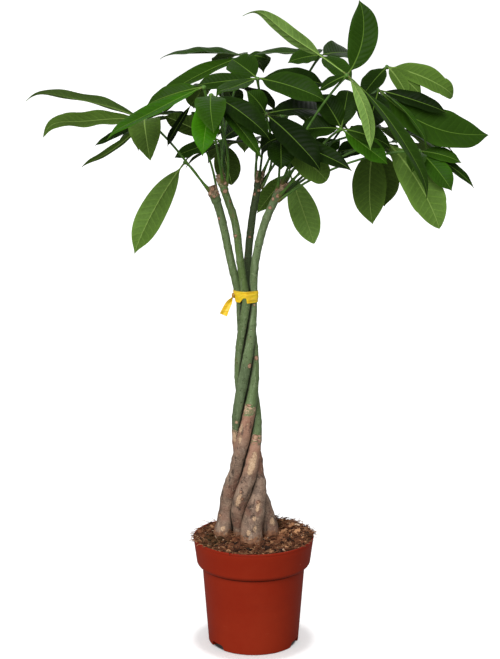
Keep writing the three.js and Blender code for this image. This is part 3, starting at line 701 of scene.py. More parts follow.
def makeStem(name, stem):
    places, radii = stemPaths[name]
    z = places[:, 2]
    full = mix(bundle["fullness"], 1.0, smooth(bundle["twistEnd"] - 10, bundle["twistEnd"] + 40, z))
    full = full + bundle["closing"] * smooth(*bundle["closed"][0], z) * smooth(*bundle["closed"][1], z)
    ahead = unit(places[-1] - places[-2])
    rounding = radii[-1] * bundle["headRound"]
    cap = np.linspace(0.25, 1, 4)[:, None]
    places = np.concatenate([places, places[-1] + ahead * rounding * cap])
    radii = np.concatenate([radii * full, radii[-1] * np.sqrt(1 - (cap[:, 0] * 0.93) ** 2)])
    sides = bundle["sides"]
    rings, angles = ringsAlong(places, radii, sides)
    z, middle = rings[:, :, 2], places[:, 2][:, None]
    age = smooth(bundle["changeReach"], -bundle["changeReach"], z - stem["change"])
    swell, scar, flake, lumps = (np.zeros(z.shape) for _ in range(4))

    def awayFrom(height, angle, size, tall):
        turn = (angles[None, :] - math.radians(angle) + math.pi) % (2 * math.pi) - math.pi
        return np.hypot(turn * radii[:, None] / size, (middle - height) / (size * tall))

    for *spot, rise in stem["scars"]:
        away = awayFrom(*spot)
        scar = np.maximum(scar, smooth(1.25, 0.5, away))
        swell += rise * smooth(1.5, 0.75, away) - rise * 0.5 * smooth(0.6, 0, away)
    for spot in stem["flakes"]:
        flake = np.maximum(flake, smooth(1.5, 0.3, awayFrom(*spot)))
    # rings where leaves once grew, wider apart lower down, and knots at the head
    top = stem["lean"][-1][2]
    nodes = np.abs(((top - middle) / bundle["scarSpacing"]) ** 0.8 % 1 - 0.5) * 2
    swell += bundle["scarRise"] * smooth(0.8, 1, nodes) * (1 - age)
    head = smooth(*[top - reach for reach in bundle["headReach"]], middle)
    seed = list(stems).index(name)
    for i in range(len(places)):
        for j in range(sides):
            coarse, fine, knots = (grain(rings[i, j], size, seed) for size in bundle["lumpSizes"])
            lumps[i, j] = coarse * 0.9 * age[i, j] + fine * (0.4 + 0.45 * age[i, j])
            lumps[i, j] += knots * 2.2 * head[i, 0]
    reach = radii[:, None] + swell + lumps
    reach[-4:] = radii[-4:, None] + (swell + lumps)[-4:] * np.linspace(1, 0.3, 5)[1:, None]
    rings, _ = ringsAlong(places, reach, sides)
    above = smooth(stem["twisted"][2] - 7, stem["twisted"][2] + 7, z)
    pale, fresh = (mix(stem["twisted"][i], stem[key], above) for i, key in enumerate(("paleness", "freshness")))
    skin = newSkin()
    addTube(skin, rings, brownShare=age, scar=scar, head=head, flake=flake, crease=paintedShadeBeside(name, rings),
            youngBark=smooth(stem["change"] - 95, stem["change"] - 10, z), base=smooth(*bundle["soiled"], z),
            paleness=pale, freshness=fresh)
    addPiece("bark_" + name, skin, [bark], ["stem_" + name], 60)


for name, stem in stems.items():
    makeStem(name, stem)
print("stems made")

# Leaves: the place of every leaf and leaflet, as in the solid part. A leaf is its stem, how far below the
# stem's top it grows and how far its root is turned round the stem, its hub, how light each leaflet is, from
# 0 to 1, and its leaflets. How light a leaflet is stands partly for its own tone and partly for painted shade,
# darker where a leaflet lies deep in the crown. A leaflet is its tip's x, y and z, its width, how far its rib
# arches to its top side, the way that side faces if not to the viewer and, where its rib also bends sideways,
# how far.
up, viewer, forward, rear = (0, 0, 1), (0, -0.8, 0.6), (0, -1, 0.2), (0, 1, 0.2)
leaves = {
    "left_long": ("left", 5, 20, (-145, -10, 735), (0.66, 0.26, 0.42, 0.28, 0.2, 0.45), [
        (-304, -10, 760, 42, 13, (0, 0.35, 1)), (-275, -60, 715, 44, 11, (0, -0.45, 1)),
        (-235, 20, 670, 16, -7, (0, 0.4, 0.9)), (-135, -65, 685, 44, 22, forward), (-160, 60, 690, 24, 8, up),
        (-215, 10, 700, 15, 0, (0, -0.6, 0.8))]),
    "left_hanging": ("left", 12, 10, (-95, 50, 675), (0.54, 0.4), [
        (-165, 30, 550, 38, 8, rear, -5), (-65, 120, 690, 20, 8, up)]),
    "upper_left": ("middle", 10, 0, (-65, -70, 780), (0.5, 0.66, 0.35, 0.1), [
        (-140, -60, 755, 27, 6), (-185, -130, 715, 30, 4, (0, -0.45, 1)), (-80, -5, 750, 30, 4, up),
        (-115, -15, 700, 13, 4)]),
    "crown_middle": ("back", 23, 110, (5, -10, 790), (0.32, 0.38, 0.32, 0.15, 0.3), [
        (95, -50, 760, 40, 8), (-50, -60, 765, 28, 3, (0, -0.5, 0.9)), (-30, 35, 815, 42, 2), (95, 10, 780, 34, 6),
        (-75, -20, 780, 24, 3)]),
    "crown_left": ("middle", 2, 10, (-10, 75, 820), (0.32, 0.45, 0.25, 0.35, 0.35), [
        (-130, 75, 815, 36, 6, (0, -0.2, 1)), (-135, 25, 755, 34, 8, (0, -0.5, 1)), (20, 70, 815, 15, 3),
        (-55, 190, 800, 40, 8, up), (15, 200, 795, 38, 8, up)]),
    "bright_front": ("middle", 16, 60, (-55, -80, 770), (0.52, 0.74, 0.15, 0.5), [
        (-50, -150, 725, 40, 8, viewer, 2), (-65, -130, 695, 36, 8), (20, -115, 715, 34, 12), (10, -110, 690, 20, 8)]),
    "glossy_front": ("back", 12, 0, (15, -60, 745), (0.0, 0.1, 0.12, 0.3), [
        (85, -120, 675, 40, 10), (-25, -80, 730, 34, 8), (105, 50, 735, 38, 13), (-10, -75, 775, 28, 5)]),
    "inner_right": ("right", 10, -10, (35, -60, 715), (0.45, 0.2, 0.2, 0.1), [
        (95, -80, 660, 40, 6, rear), (35, -90, 675, 36, 6), (10, -35, 695, 28, 6), (125, -115, 675, 26, 6)]),
    "inner_small": ("middle", 22, 0, (-45, 30, 705), (0.15, 0.2, 0.2, 0.3), [
        (-30, 30, 645, 36, 6, rear), (-15, 95, 720, 30, 5), (-120, -5, 740, 26, 4, rear), (-110, 60, 680, 22, 4)]),
    "right_hanging": ("right", 30, 30, (50, 60, 660), (0.62, 0.45, 0.15), [
        (85, 60, 560, 40, 8, rear), (5, 90, 600, 28, 6, rear), (125, 135, 700, 36, 6), (55, 150, 680, 36, 10, up)]),
    "right_tall": ("right", 3, -27, (120, -70, 795), (0.38, 0.66, 0.72, 0.34, 0.2), [
        (135, -60, 890, 38, 4, forward, 12), (-15, -60, 870, 26, 9, (0, 0.65, 0.75)),
        (150, -90, 700, 19, 3, (-0.4, 0.85, 0.2), 12), (220, -120, 640, 29, 18, (0.5, -0.6, 0.6)),
        (85, -55, 775, 16, 3)]),
    "right_light": ("right", 4, 30, (180, 20, 805), (0.44, 0.36, 0.36, 0.25), [
        (270, 25, 765, 35, 12), (225, 0, 765, 24, 6), (205, -10, 765, 20, 6), (145, 0, 765, 28, 6)]),
    "right_far": ("right", 9, -20, (165, -20, 775), (0.06, 0.45, 0.5, 0.12), [
        (255, -30, 745, 24, 4), (315, -5, 715, 56, 2, viewer, 24), (225, -60, 700, 18, 10, (0.6, -0.35, 0.6)),
        (150, -50, 725, 42, 6)]),
    "right_inner": ("right", 17, -45, (115, -40, 725), (0.62, 0.25, 0.2, 0.2, 0.2), [
        (175, -60, 680, 32, 2), (180, -40, 700, 28, 8), (60, -30, 720, 34, 6), (125, -20, 775, 34, 6),
        (85, -30, 770, 34, 6)]),
    "right_low": ("right", 18, 6, (180, 0, 705), (0.53, 0.36, 0.4), [
        (245, -60, 595, 48, 10, forward, -6), (215, -20, 650, 24, 6), (245, 60, 675, 36, 10, up)]),
    "right_behind": ("right", 22, 32, (165, 50, 695), (0.28, 0.24, 0.15, 0.3), [
        (165, 40, 590, 48, 8, rear, -4), (185, 85, 610, 48, 6, rear, 4), (115, 80, 685, 30, 4),
        (200, 120, 675, 34, 10, up)]),
    "right_small": ("right", 24, -30, (220, -30, 695), (0.55, 0.5, 0.2, 0.45), [
        (260, -60, 645, 30, 6), (275, -40, 680, 22, 6), (295, -20, 645, 15, 6, viewer, -4), (205, -75, 670, 26, 6)]),
    "crown_right": ("back", 6, 90, (90, 30, 820), (0.3, 0.45, 0.25, 0.45, 0.3), [
        (0, 60, 820, 30, 4, (0, -0.35, 1)), (45, 10, 810, 24, 4), (140, 110, 820, 42, 5), (130, -20, 785, 28, 5),
        (65, 120, 810, 34, 10, up)]),
}
# The leaves at the back are even fans: stem, root, turn and hub as above, and the way that the fan heads
backLeaves = {
    "back_left": ("left", 16, -30, (-90, 90, 735), 130), "back_crown": ("middle", 12, -20, (-45, 130, 775), 115),
    "back_middle": ("back", 12, 60, (42, 120, 735), 95), "back_lower": ("back", 25, 15, (5, 180, 695), 100),
    "back_right": ("back", 18, -5, (115, 125, 760), 50), "back_far": ("right", 14, 40, (175, 90, 715), 35),
}
fan = {"angles": (-68, -34, 0, 34, 68), "reach": 108, "drop": 30, "width": 38, "arch": 13, "seed": 5}

# leaflets that are turned over, so that their pale side is where their top side would be
turnedBlades = {("left_long", 1), ("left_long", 3), ("right_light", 0), ("right_light", 1), ("right_light", 2),
                ("right_low", 0), ("right_low", 1)}
# leaflets whose tip bends down further, in millimetres
hooks = {("left_long", 0): 9, ("left_long", 1): 12, ("right_tall", 1): 17, ("crown_left", 0): 3,
         ("crown_middle", 1): 6}
# where a leaflet's blade starts, is widest and ends, as shares of its length, if that isn't the usual
spans = {
    ("left_long", 0): (0.06, 0.36, 0.95), ("left_long", 1): (0.06, 0.48, 0.96), ("left_long", 3): (0.05, 0.34, 0.96),
    ("right_tall", 1): (0.27, 0.54, 0.92), ("right_tall", 3): (0.17, 0.6, 0.96), ("right_low", 0): (0.06, 0.64, 0.97),
    ("crown_left", 0): (0.08, 0.42, 0.92), ("crown_middle", 4): (0.08, 0.68, 0.97),
    ("upper_left", 3): (0.3, 0.72, 0.95), ("right_behind", 0): (0.06, 0.48, 0.95),
    ("bright_front", 0): (0.06, 0.42, 0.96),
}
usualSpan = (0.08, 0.56, 0.95)
# leaflets whose tip is round, and how much
roundTips = {("right_hanging", 0): 0.35, ("left_long", 1): 0.4, ("right_low", 0): 0.3, ("right_light", 0): 1.0,
             ("inner_right", 0): 0.8, ("inner_small", 0): 0.3, ("right_inner", 3): 0.8}
leafShape = {
    "rows": 58, "across": (0, 0.045, 0.11, 0.22, 0.36, 0.52, 0.68, 0.84, 1), "fold": 0.22, "thickness": 0.55,
    "stalkWidth": 1.3, "stalkThickness": 2.0, "ribWidth": 1.12, "ribRise": 0.9, "veins": 13, "slant": 0.62,
    "quilt": 0.2, "stalkShare": (0.13, 0.05), "droop": (0.01, 0.03), "twist": 9, "shift": 0.04,
    "foldChange": (0.75, 1.25), "waves": (2.2, 3.8), "waveSize": (0.035, 0.075), "veinShift": (0.3, 0.6),
    "otherTones": (0.15, 0.45), "roundFrom": 0.78, "usualWidth": 38, "petioleRadius": 1.75, "petioleBow": 0.12,
    "hubRadius": 3.4, "tipRoom": 0.5, "seed": 23,
}
# the half width of a leaflet along its length, as a share of its widest
outline = [(0, 0.03), (0.06, 0.035), (0.09, 0.1), (0.15, 0.36), (0.23, 0.63), (0.33, 0.83), (0.45, 0.96), (0.58, 1.0),
           (0.7, 0.93), (0.8, 0.75), (0.88, 0.48), (0.935, 0.24), (0.97, 0.1), (1.0, 0.015)]


def easedLine(corners, at):
    # a smooth line through corners that are in order
    x, y = (np.array(part, float) for part in zip(*corners))
    slopes = np.gradient(y, x)
    i = np.clip(np.searchsorted(x, at) - 1, 0, len(x) - 2)
    h = x[i + 1] - x[i]
    u = (at - x[i]) / h
    return (y[i] * (1 + 2 * u) * (1 - u) ** 2 + slopes[i] * h * u * (1 - u) ** 2
            + y[i + 1] * u * u * (3 - 2 * u) + slopes[i + 1] * h * u * u * (u - 1))


def partDraws(state):
    # the same draws as the solid part makes for its leaves at the back
    while True:
        state = (state * 1664525 + 1013904223) % 4294967296
        yield state / 4294967296


def fanBlades(hub, heading, draws):
    def vary(value, share):
        return value * (1 + share * (2 * next(draws) - 1))
    x, y, z = hub
    blades = []
    for turn in fan["angles"]:
        angle = math.radians(heading + vary(turn, 0.08))
        reach = vary(fan["reach"], 0.15)
        tip = (x + reach * math.cos(angle), y + reach * math.sin(angle), z - vary(fan["drop"], 0.4))
        blades.append((*tip, vary(fan["width"], 0.1), fan["arch"], up))
    return blades


def addBlade(skin, hub, blade, tone, roundness, turned, hook, span, chance):
    x, y, z, width, arch, *more = blade
    face, sweep = more[0] if more else viewer, more[1] if len(more) > 1 else 0
    start, end, top = vec(*hub), vec(x, y, z), vec(*face)
    end = end - unit(end - start) * leafShape["tipRoom"]
    length = np.linalg.norm(end - start)
    chord = (end - start) / length
    bow = unit(top - chord * top.dot(chord))
    bend = bow * arch + np.cross(chord, bow) * sweep
    t = np.linspace(0, 1, leafShape["rows"])
    t = mix(t, t ** 0.85, 0.6)
    rib = cubic((start, mix(start, end, 0.33) + bend * 1.33, mix(start, end, 0.7) + bend * 1.33, end), t)
    hook = hook or chance.uniform(*leafShape["droop"]) * length
    rib += bow * (hook * (t ** 7 * (1 - t) / 0.0491))[:, None]
    ahead = unit(np.gradient(rib, axis=0))
    normal = unit(top - ahead * (ahead @ top)[:, None])
    twist = (t ** 1.5 * math.radians(chance.uniform(-leafShape["twist"], leafShape["twist"])))[:, None]
    side = np.cross(ahead, normal)
    side, normal = side * np.cos(twist) + normal * np.sin(twist), normal * np.cos(twist) - side * np.sin(twist)
    shift = chance.uniform(-leafShape["shift"], leafShape["shift"])
    along = np.interp(t, (0, *span, 1), (0, *usualSpan, 1))
    share = easedLine(outline, np.clip(along + shift * np.sin(math.pi * along), 0, 1))
    blunt = leafShape["roundFrom"]
    arc = easedLine(outline, np.full_like(t, blunt)) * np.sqrt(np.clip(1 - ((t - blunt) / (1 - blunt)) ** 2, 0, 1))
    share = np.where(t > blunt, mix(share, arc, roundness), share)
    stalk = smooth(*leafShape["stalkShare"], t)
    half = np.maximum(np.maximum(share * width / 2, 0.35), leafShape["stalkWidth"] * stalk)
    s = np.array([-place for place in reversed(leafShape["across"][1:])] + list(leafShape["across"]))[None, :]
    spread, columns = np.abs(s), s.size
    reach = s * half[:, None]
    # cross-section: folded along the rib, easing off towards the margins, which wave a little
    fold = leafShape["fold"] * chance.uniform(*leafShape["foldChange"])
    shape = (1.5 * spread - 0.5 * spread ** 2) * (share * fold * half)[:, None]
    for sign in (-1, 1):
        waves, phase = chance.uniform(*leafShape["waves"]), chance.uniform(0, 2 * math.pi)
        size = chance.uniform(*leafShape["waveSize"])
        wave = np.sin(2 * math.pi * waves * t + phase) * size * half * smooth(0.1, 0.3, t) * smooth(1, 0.85, t)
        shape += np.where(s * sign > 0, spread ** 2, 0) * wave[:, None]
    along = np.clip((t - 0.07) / 0.93, 0, 1)[:, None]
    veinPlace = leafShape["veins"] * (along - leafShape["slant"] * np.abs(reach) / length - 0.03 * spread ** 3)
    veinPlace += np.where(s > 0, chance.uniform(*leafShape["veinShift"]), 0) + chance.random()
    t, stalk = t[:, None], stalk[:, None]
    swell = (0.5 - 0.5 * np.cos(2 * math.pi * veinPlace)) * (smooth(0.05, 0.25, spread) * smooth(1, 0.75, spread))
    shape += swell * (1 - stalk) * smooth(1, 0.8, t) * leafShape["quilt"] * (width / leafShape["usualWidth"])
    thick = mix(leafShape["thickness"], leafShape["stalkThickness"], stalk)
    room = thick / 2 * np.sqrt(np.clip(1 - spread ** mix(10, 2, stalk), 0, 1))
    rise = leafShape["ribRise"]
    ribRoom = rise * np.exp(-(reach / rise) ** 2) * (1 - stalk) * (1 - t) ** 0.7
    centre = rib[:, None] + side[:, None] * reach[:, :, None]
    upper = centre + normal[:, None] * (shape + room)[:, :, None]
    lower = centre + normal[:, None] * (shape - room - ribRoom * (1 - spread))[:, :, None]

    def both(value):
        value = np.broadcast_to(value, (len(t), columns))
        return np.concatenate([value, value[:, -2:0:-1]], axis=1)
    slots = np.array([turned] * (columns - 1) + [1 - turned] * (columns - 1))
    ribWidth = leafShape["ribWidth"] * (1.05 - 0.8 * t)
    addTube(skin, np.concatenate([upper, lower[:, -2:0:-1]], axis=1), np.where(t[:-1] < 0.045, 2, slots),
            veinPlace=both(veinPlace), ribShare=both(np.abs(reach) / ribWidth), edgeShare=both(spread),
            bladeShare=both(t), tone=tone)


def addPetiole(skin, stem, root, spin, hub, tone):
    place, radius, ahead = stemAt(stem, stems[stem]["lean"][-1][2] - root)
    hub = vec(*hub)
    out = hub - place
    out = turnAbout(unit(out - ahead * out.dot(ahead)), ahead, math.radians(spin))
    root = place + out * radius * 0.8
    length = np.linalg.norm(hub - root)
    rise = out * 0.6 + ahead * 1.15
    t = np.linspace(0, 1, 26)
    sag = vec(0, 0, length * leafShape["petioleBow"])
    path = cubic((root, root + rise * length * 0.3, mix(root, hub, 0.65) + sag, hub), t)
    radii = 1 + 0.75 * smooth(0.1, 0, t) + 0.3 * smooth(0.9, 1, t) - 0.12 * np.sin(math.pi * t)
    rings, _ = ringsAlong(path, leafShape["petioleRadius"] * radii, 12)
    addTube(skin, rings, 2, tone=tone, bladeShare=t[:, None])
    # the small swelling where the leaflets meet
    way = unit(path[-1] - path[-3])
    steps = np.linspace(0.02, 0.98, 9) * math.pi
    size = leafShape["hubRadius"]
    balls = hub - way * size * 0.15 + way * (-np.cos(steps) * size * 0.8)[:, None]
    rings, _ = ringsAlong(balls, np.sin(steps) * size, 16)
    addTube(skin, rings, 2, tone=tone + 0.1, bladeShare=1.0)


# A side of a leaf is its colours from dark to bright and its finish, and veins of its own width and strength
leafLook = {
    "top": {"colors": ((13, 28, 2), (40, 68, 12), (58, 122, 4)), "rib": (112, 146, 58), "veinShare": 0.36,
            "veinWidth": 0.09, "ribWidth": 0.8, "roughness": 0.42, "specular": 0.05, "depth": 0.00025},
    "under": {"colors": ((40, 54, 14), (82, 112, 42), (142, 180, 96)), "rib": (146, 172, 92), "veinShare": 0.34,
              "veinWidth": 0.13, "ribWidth": 1.1, "roughness": 0.65, "specular": 0.06, "depth": -0.0004},
    "petiole": {"colors": ((22, 44, 12), (84, 126, 42), (140, 170, 70)), "base": (110, 84, 52)},
}


def toneColor(tree, look, tone):
    dark, middle, bright = look["colors"]
    low = mixColor(tree, ranged(tree, tone, 0.0, 0.5), dark, middle)
    return mixColor(tree, ranged(tree, tone, 0.45, 1.0), low, bright)


def makeLeafMaterial(name, look):
    material, tree, shader = startMaterial(name, look["roughness"], look["specular"])
    veins = useGroup(tree, leafVeins, {"Vein Width": look["veinWidth"], "Rib Width": look["ribWidth"]})
    drift, fine = swing(tree, 0.35, 14.0, 3), swing(tree, 0.16, 260.0, 4, 0.65)
    color = toneColor(tree, look, plus(tree, plus(tree, valueOf(tree, "tone"), drift), fine))
    # the blade is darker beside its rib, and its margin, net and side veins are a little lighter
    lines = times(tree, veins["Veins"], look["veinShare"])
    lines = figure(tree, "MAXIMUM", lines, times(tree, veins["Net"], 0.14))
    lines = figure(tree, "MAXIMUM", lines, ranged(tree, valueOf(tree, "edgeShare"), 0.6, 1.0, 0.0, 0.3))
    lighter = mixColor(tree, 1.0, color, (2.1, 2.0, 1.8, 1), "MULTIPLY")
    color = mixColor(tree, lines, color, lighter)
    ribColor = mixColor(tree, 0.68, lighter, look["rib"])
    color = mixColor(tree, times(tree, veins["Rib"], 0.9), color, ribColor)
    rough = ranged(tree, veins["Relief"], -0.5, 1.0, look["roughness"] + 0.12, look["roughness"] - 0.04)
    finishMaterial(tree, shader, color, veins["Relief"], look["depth"], 0.8, rough)
    return material


def makePetioleMaterial(look):
    material, tree, shader = startMaterial("leafStalk", 0.45, 0.35)
    color = toneColor(tree, look, plus(tree, valueOf(tree, "tone"), swing(tree, 0.5, 120.0, 3)))
    color = mixColor(tree, ranged(tree, valueOf(tree, "bladeShare"), 0.0, 0.06, 0.7, 0.0), color, look["base"])
    finishMaterial(tree, shader, color, grainHeight(tree, 700.0, 0.3), 0.0002, 0.5)
    return material


leafMaterials = [makeLeafMaterial("leafTopSide", leafLook["top"]), makeLeafMaterial("leafUnderSide", leafLook["under"]),
                 makePetioleMaterial(leafLook["petiole"])]


def makeLeaves():
    chance, draws = random.Random(leafShape["seed"]), partDraws(fan["seed"])
    backs = {name: (*leaf[:4], (), fanBlades(leaf[3], leaf[4], draws)) for name, leaf in backLeaves.items()}
    for name, (stem, root, spin, hub, tonesAndShade, blades) in {**leaves, **backs}.items():
        tonesAndShade = [*tonesAndShade, *[chance.uniform(*leafShape["otherTones"]) for _ in blades]]
        skin = newSkin()
        # the stalk's tone follows its first leaflet's, so stalks in the crown's shade are painted darker
        addPetiole(skin, stem, root, spin, hub, 0.16 + 0.4 * tonesAndShade[0])
        for i, blade in enumerate(blades):
            key = (name, i)
            addBlade(skin, hub, blade, tonesAndShade[i], roundTips.get(key, 0), int(key in turnedBlades), hooks.get(key),
                     spans.get(key, usualSpan), chance)
        addPiece("foliage_" + name, skin, leafMaterials, ["leaf_" + name], 55)


makeLeaves()
print("leaves made")

# Soil: a rough bed with bark chips, crumbs and coir fibres on it. A spill over the rim is its turn, how
# far it spreads and its number of fibres, and a heap is its x and y, its radius and its height.
soil = {
    "top": 149, "edge": 3, "roughness": 2.6, "wall": 82.3, "depth": 18, "rings": 44, "sectors": 130, "seed": 17,
    "chips": 650, "chipSize": (1.3, 3.2), "bigChips": 0.2, "bigger": 1.8, "crumbs": 1400, "crumbSize": (0.6, 1.3),
    "fibres": 2000, "fibreLength": (4, 15), "fibreRadius": (0.25, 0.6), "fibreSteps": 8, "curl": 2.6,
    "climb": (0.1, 1.0), "droop": (1.0, 2.4), "chipTones": (0.36, 0.28), "fibreTones": (0.42, 0.22),
    "spills": [(196, 9, 90), (4, 8, 90), (48, 18, 170), (250, 16, 60)],
    "heaps": [(62, 42, 20, 4.2), (30, 70, 16, 3.0), (-72, 24, 18, 2.2), (-22, -56, 16, 2.6), (-48, -46, 12, 1.8),
              (74, -6, 16, 3.2), (-66, -30, 14, 2.4)],
    "dark": (34, 20, 14), "brown": (114, 70, 46), "tan": (192, 142, 102), "moss": (66, 60, 30),
    "pale": (226, 196, 166),
}


def soilHeight(x, y):
    z = soil["top"] + soil["edge"] * float(smooth(45, 76, math.hypot(x, y)))
    z += soil["roughness"] * (grain((x, y, 0), 26, 3) + 0.6 * grain((x, y, 0), 9, 4) + 0.35 * grain((x, y, 0), 3.5, 5))
    for stem in stems.values():
        near = math.hypot(x - stem["foot"][0], y - stem["foot"][1]) - stem["footRadius"]
        z += 2.5 * float(smooth(14, 0, near))
    for heapX, heapY, size, rise in soil["heaps"]:
        z += rise * float(smooth(size, 0, math.hypot(x - heapX, y - heapY)))
    return z


def makeSoilMaterial(name, spread, scale):
    material, tree, shader = startMaterial(name, 0.9, 0.2)
    tone = plus(tree, valueOf(tree, "tone"), swing(tree, spread, scale, 5, 0.7))
    color = mixColor(tree, ranged(tree, tone, 0.0, 0.45), soil["dark"], soil["brown"])
    color = mixColor(tree, ranged(tree, tone, 0.45, 0.85), color, soil["tan"])
    color = mixColor(tree, ranged(tree, tone, 0.93, 0.97), color, soil["pale"])
    color = layered(tree, color, [((26.0, 3), (0.5, 0.66, 0.0, 0.4), soil["moss"])])
    finishMaterial(tree, shader, color, grainHeight(tree, scale * 1.5, 0.6), 0.0008, 0.8)
    return material


def makeSoilBed():
    skin = newSkin()
    angles = evenTurns(soil["sectors"])
    reaches = np.linspace(1.2, soil["wall"], soil["rings"])
    bed = [[polar(r, a, soilHeight(*polar(r, a))) for a in angles] for r in reaches]
    under = [[polar(r, a, soil["top"] - soil["depth"]) for a in angles] for r in (soil["wall"] - 3, 2)]
    addTube(skin, np.array(under[::-1] + bed[::-1]), tone=0.2)
    addPiece("soilBed", skin, [makeSoilMaterial("soilBase", 1.0, 300.0)], ["soil"], 80)


def chipCorners(chance):
    # an angular chip: a squashed, uneven twelve-sided lump
    ratio = (1 + 5 ** 0.5) / 2
    level = [(-1, ratio, 0), (1, ratio, 0), (-1, -ratio, 0), (1, -ratio, 0)]
    corners = np.array([np.roll(corner, turn) for turn in range(3) for corner in level])
    return corners / 1.9 * np.array([[chance.uniform(0.7, 1.3) for _ in range(3)] for _ in range(12)])


chipFaces = [(0, 11, 5), (0, 5, 1), (0, 1, 7), (0, 7, 10), (0, 10, 11), (1, 5, 9), (5, 11, 4), (11, 10, 2), (10, 7, 6),
             (7, 1, 8), (3, 9, 4), (3, 4, 2), (3, 2, 6), (3, 6, 8), (3, 8, 9), (4, 9, 5), (2, 4, 11), (6, 2, 10),
             (8, 6, 7), (9, 8, 1)]


def anyTurn(chance, tilt):
    # a turn about the upright axis after a tilt about a level one
    a, b, c = chance.uniform(0, 2 * math.pi), chance.uniform(-tilt, tilt), chance.uniform(0, 2 * math.pi)
    turns = [np.array([(math.cos(w), -math.sin(w), 0), (math.sin(w), math.cos(w), 0), (0, 0, 1)]) for w in (a, c)]
    tiltX = np.array([(1, 0, 0), (0, math.cos(b), -math.sin(b)), (0, math.sin(b), math.cos(b))])
    return turns[0] @ tiltX @ turns[1]


def soilSpot(chance, limit, room):
    # a spot within the limit that is clear of the stems' feet
    while True:
        x, y = polar(limit * math.sqrt(chance.random()), chance.uniform(0, 2 * math.pi))
        if all(math.hypot(x - s["foot"][0], y - s["foot"][1]) > s["footRadius"] + room for s in stems.values()):
            return x, y


def soilTone(chance, kind):
    return min(1, max(0, chance.gauss(*soil[kind])))


def makeChips():
    chance = random.Random(soil["seed"])
    skin = newSkin()
    for i in range(soil["chips"] + soil["crumbs"]):
        if i < soil["chips"]:
            size = chance.uniform(*soil["chipSize"])
            size *= 1 if chance.random() < 1 - soil["bigChips"] else soil["bigger"]
        else:
            size = chance.uniform(*soil["crumbSize"])
        x, y = soilSpot(chance, soil["wall"] - size - 0.6, size * 0.3)
        shape = np.array([size * chance.uniform(0.9, 1.9), size, size * chance.uniform(0.35, 0.8)])
        place = vec(x, y, soilHeight(x, y) + size * chance.uniform(-0.1, 0.75))
        corners = (chipCorners(chance) * shape) @ anyTurn(chance, 1.1).T + place
        addLump(skin, corners, chipFaces, tone=soilTone(chance, "chipTones"))
    addPiece("soilChips", skin, [makeSoilMaterial("barkChips", 0.7, 420.0)], (), 20)


def fibreSpots(chance):
    # all over the bed, and more of them at the places where they spill over the rim
    for _ in range(soil["fibres"]):
        yield (*soilSpot(chance, soil["wall"] - 1.5, 0.5), chance.uniform(0, 2 * math.pi))
    for turn, spread, count in soil["spills"]:
        for _ in range(count):
            angle, reach = math.radians(chance.gauss(turn, spread)), chance.uniform(74, 82)
            yield polar(reach, angle, angle + chance.uniform(-1.3, 1.3))


def makeFibres():
    chance = random.Random(soil["seed"] + 1)
    skin = newSkin()
    steps = soil["fibreSteps"]
    for x, y, heading in fibreSpots(chance):
        length, curl = chance.uniform(*soil["fibreLength"]), chance.uniform(-soil["curl"], soil["curl"])
        climb, droop = chance.uniform(*soil["climb"]), chance.uniform(*soil["droop"])
        place = vec(x, y, soilHeight(x, y) + chance.uniform(-0.3, 1.2))
        places = [place]
        for k in range(steps):
            turn = heading + curl * k / steps + chance.uniform(-0.35, 0.35)
            rise = climb * (1 - droop * k / steps)
            way = vec(math.cos(turn) * math.cos(rise), math.sin(turn) * math.cos(rise), math.sin(rise))
            place = place + length / steps * way
            reach = math.hypot(place[0], place[1])
            if reach < soil["wall"]:
                place[2] = max(place[2], soilHeight(place[0], place[1]) + 0.3)
            elif reach < pot["rimRadius"] + 0.7:
                place[2] = max(place[2], pot["height"] + 0.5)
            places.append(place)
        radii = chance.uniform(*soil["fibreRadius"]) * (1 - 0.6 * np.linspace(-1, 1, steps + 1) ** 2)
        rings, _ = ringsAlong(np.array(places), radii, 4)
        addTube(skin, rings, tone=soilTone(chance, "fibreTones"))
    addPiece("coirFibres", skin, [makeSoilMaterial("coir", 0.5, 500.0)], (), 80)


makeSoilBed()
makeChips()
makeFibres()
print("soil made")

# Tie: one yellow plastic ribbon, wrapped round the stems, with its knot and a loose end
tie = {
    "level": 496, "height": 16, "levels": 17, "turns": 160, "ease": 1.07, "room": 0.3, "lift": 7,
    "liftRise": (218, 258), "liftFall": (271, 267), "knotRadius": 3, "tailWidth": 11.5, "slant": (0.8, 0.3, -0.4),
    "pleats": 3, "pleatRise": 0.5, "tail": [(-1, -1.5, 0), (-5, -4, -5), (-10, -7, -14), (-15, -9, -25)],
    "tailSteps": 30, "tailTurn": (-65, 12), "strip": 0.35,
    "color": (255, 222, 40), "deep": (242, 190, 12), "light": (250, 212, 80), "shade": (120, 52, 14),
}


def hullLine(z, angles):
    # the line drawn tight round the four stems at a height: its middle, and how far out it is at each angle
    corners = []
    for name in stems:
        place, radius, _ = stemAt(name, z)
        reach = radius * tie["ease"] + tie["room"]
        corners += [place[:2] + reach * vec(math.cos(a), math.sin(a)) for a in np.linspace(0, 2 * math.pi, 40)]
    corners = np.array(corners)
    middle = corners.mean(0)
    ways, facing = (np.stack([np.cos(turns), np.sin(turns)], -1) for turns in (angles, evenTurns(180)))
    support = ((corners - middle) @ facing.T).max(0)
    along = ways @ facing.T
    return middle, np.where(along > 0.05, support / np.maximum(along, 0.05), 1e9).min(1)


def makeTieMaterial():
    material, tree, shader = startMaterial("yellowRibbon", 0.38, 0.5)
    shade = mottled(tree, tie["color"], tie["deep"], 70.0, 0.3)
    folds = patch(tree, (160.0, 3, 0.5, (0.35, 0.35, 2.2)), (0.35, 0.7))
    color = mixColor(tree, times(tree, folds, 0.35), shade["Color"], tie["light"])
    # painted shade: the knot and the start of the loose end are darkened red-brown
    color = mixColor(tree, ranged(tree, valueOf(tree, "shade"), 0.0, 1.0, 0.0, 0.8), color, tie["shade"])
    finishMaterial(tree, shader, color, folds, 0.0007, 0.6)
    return material


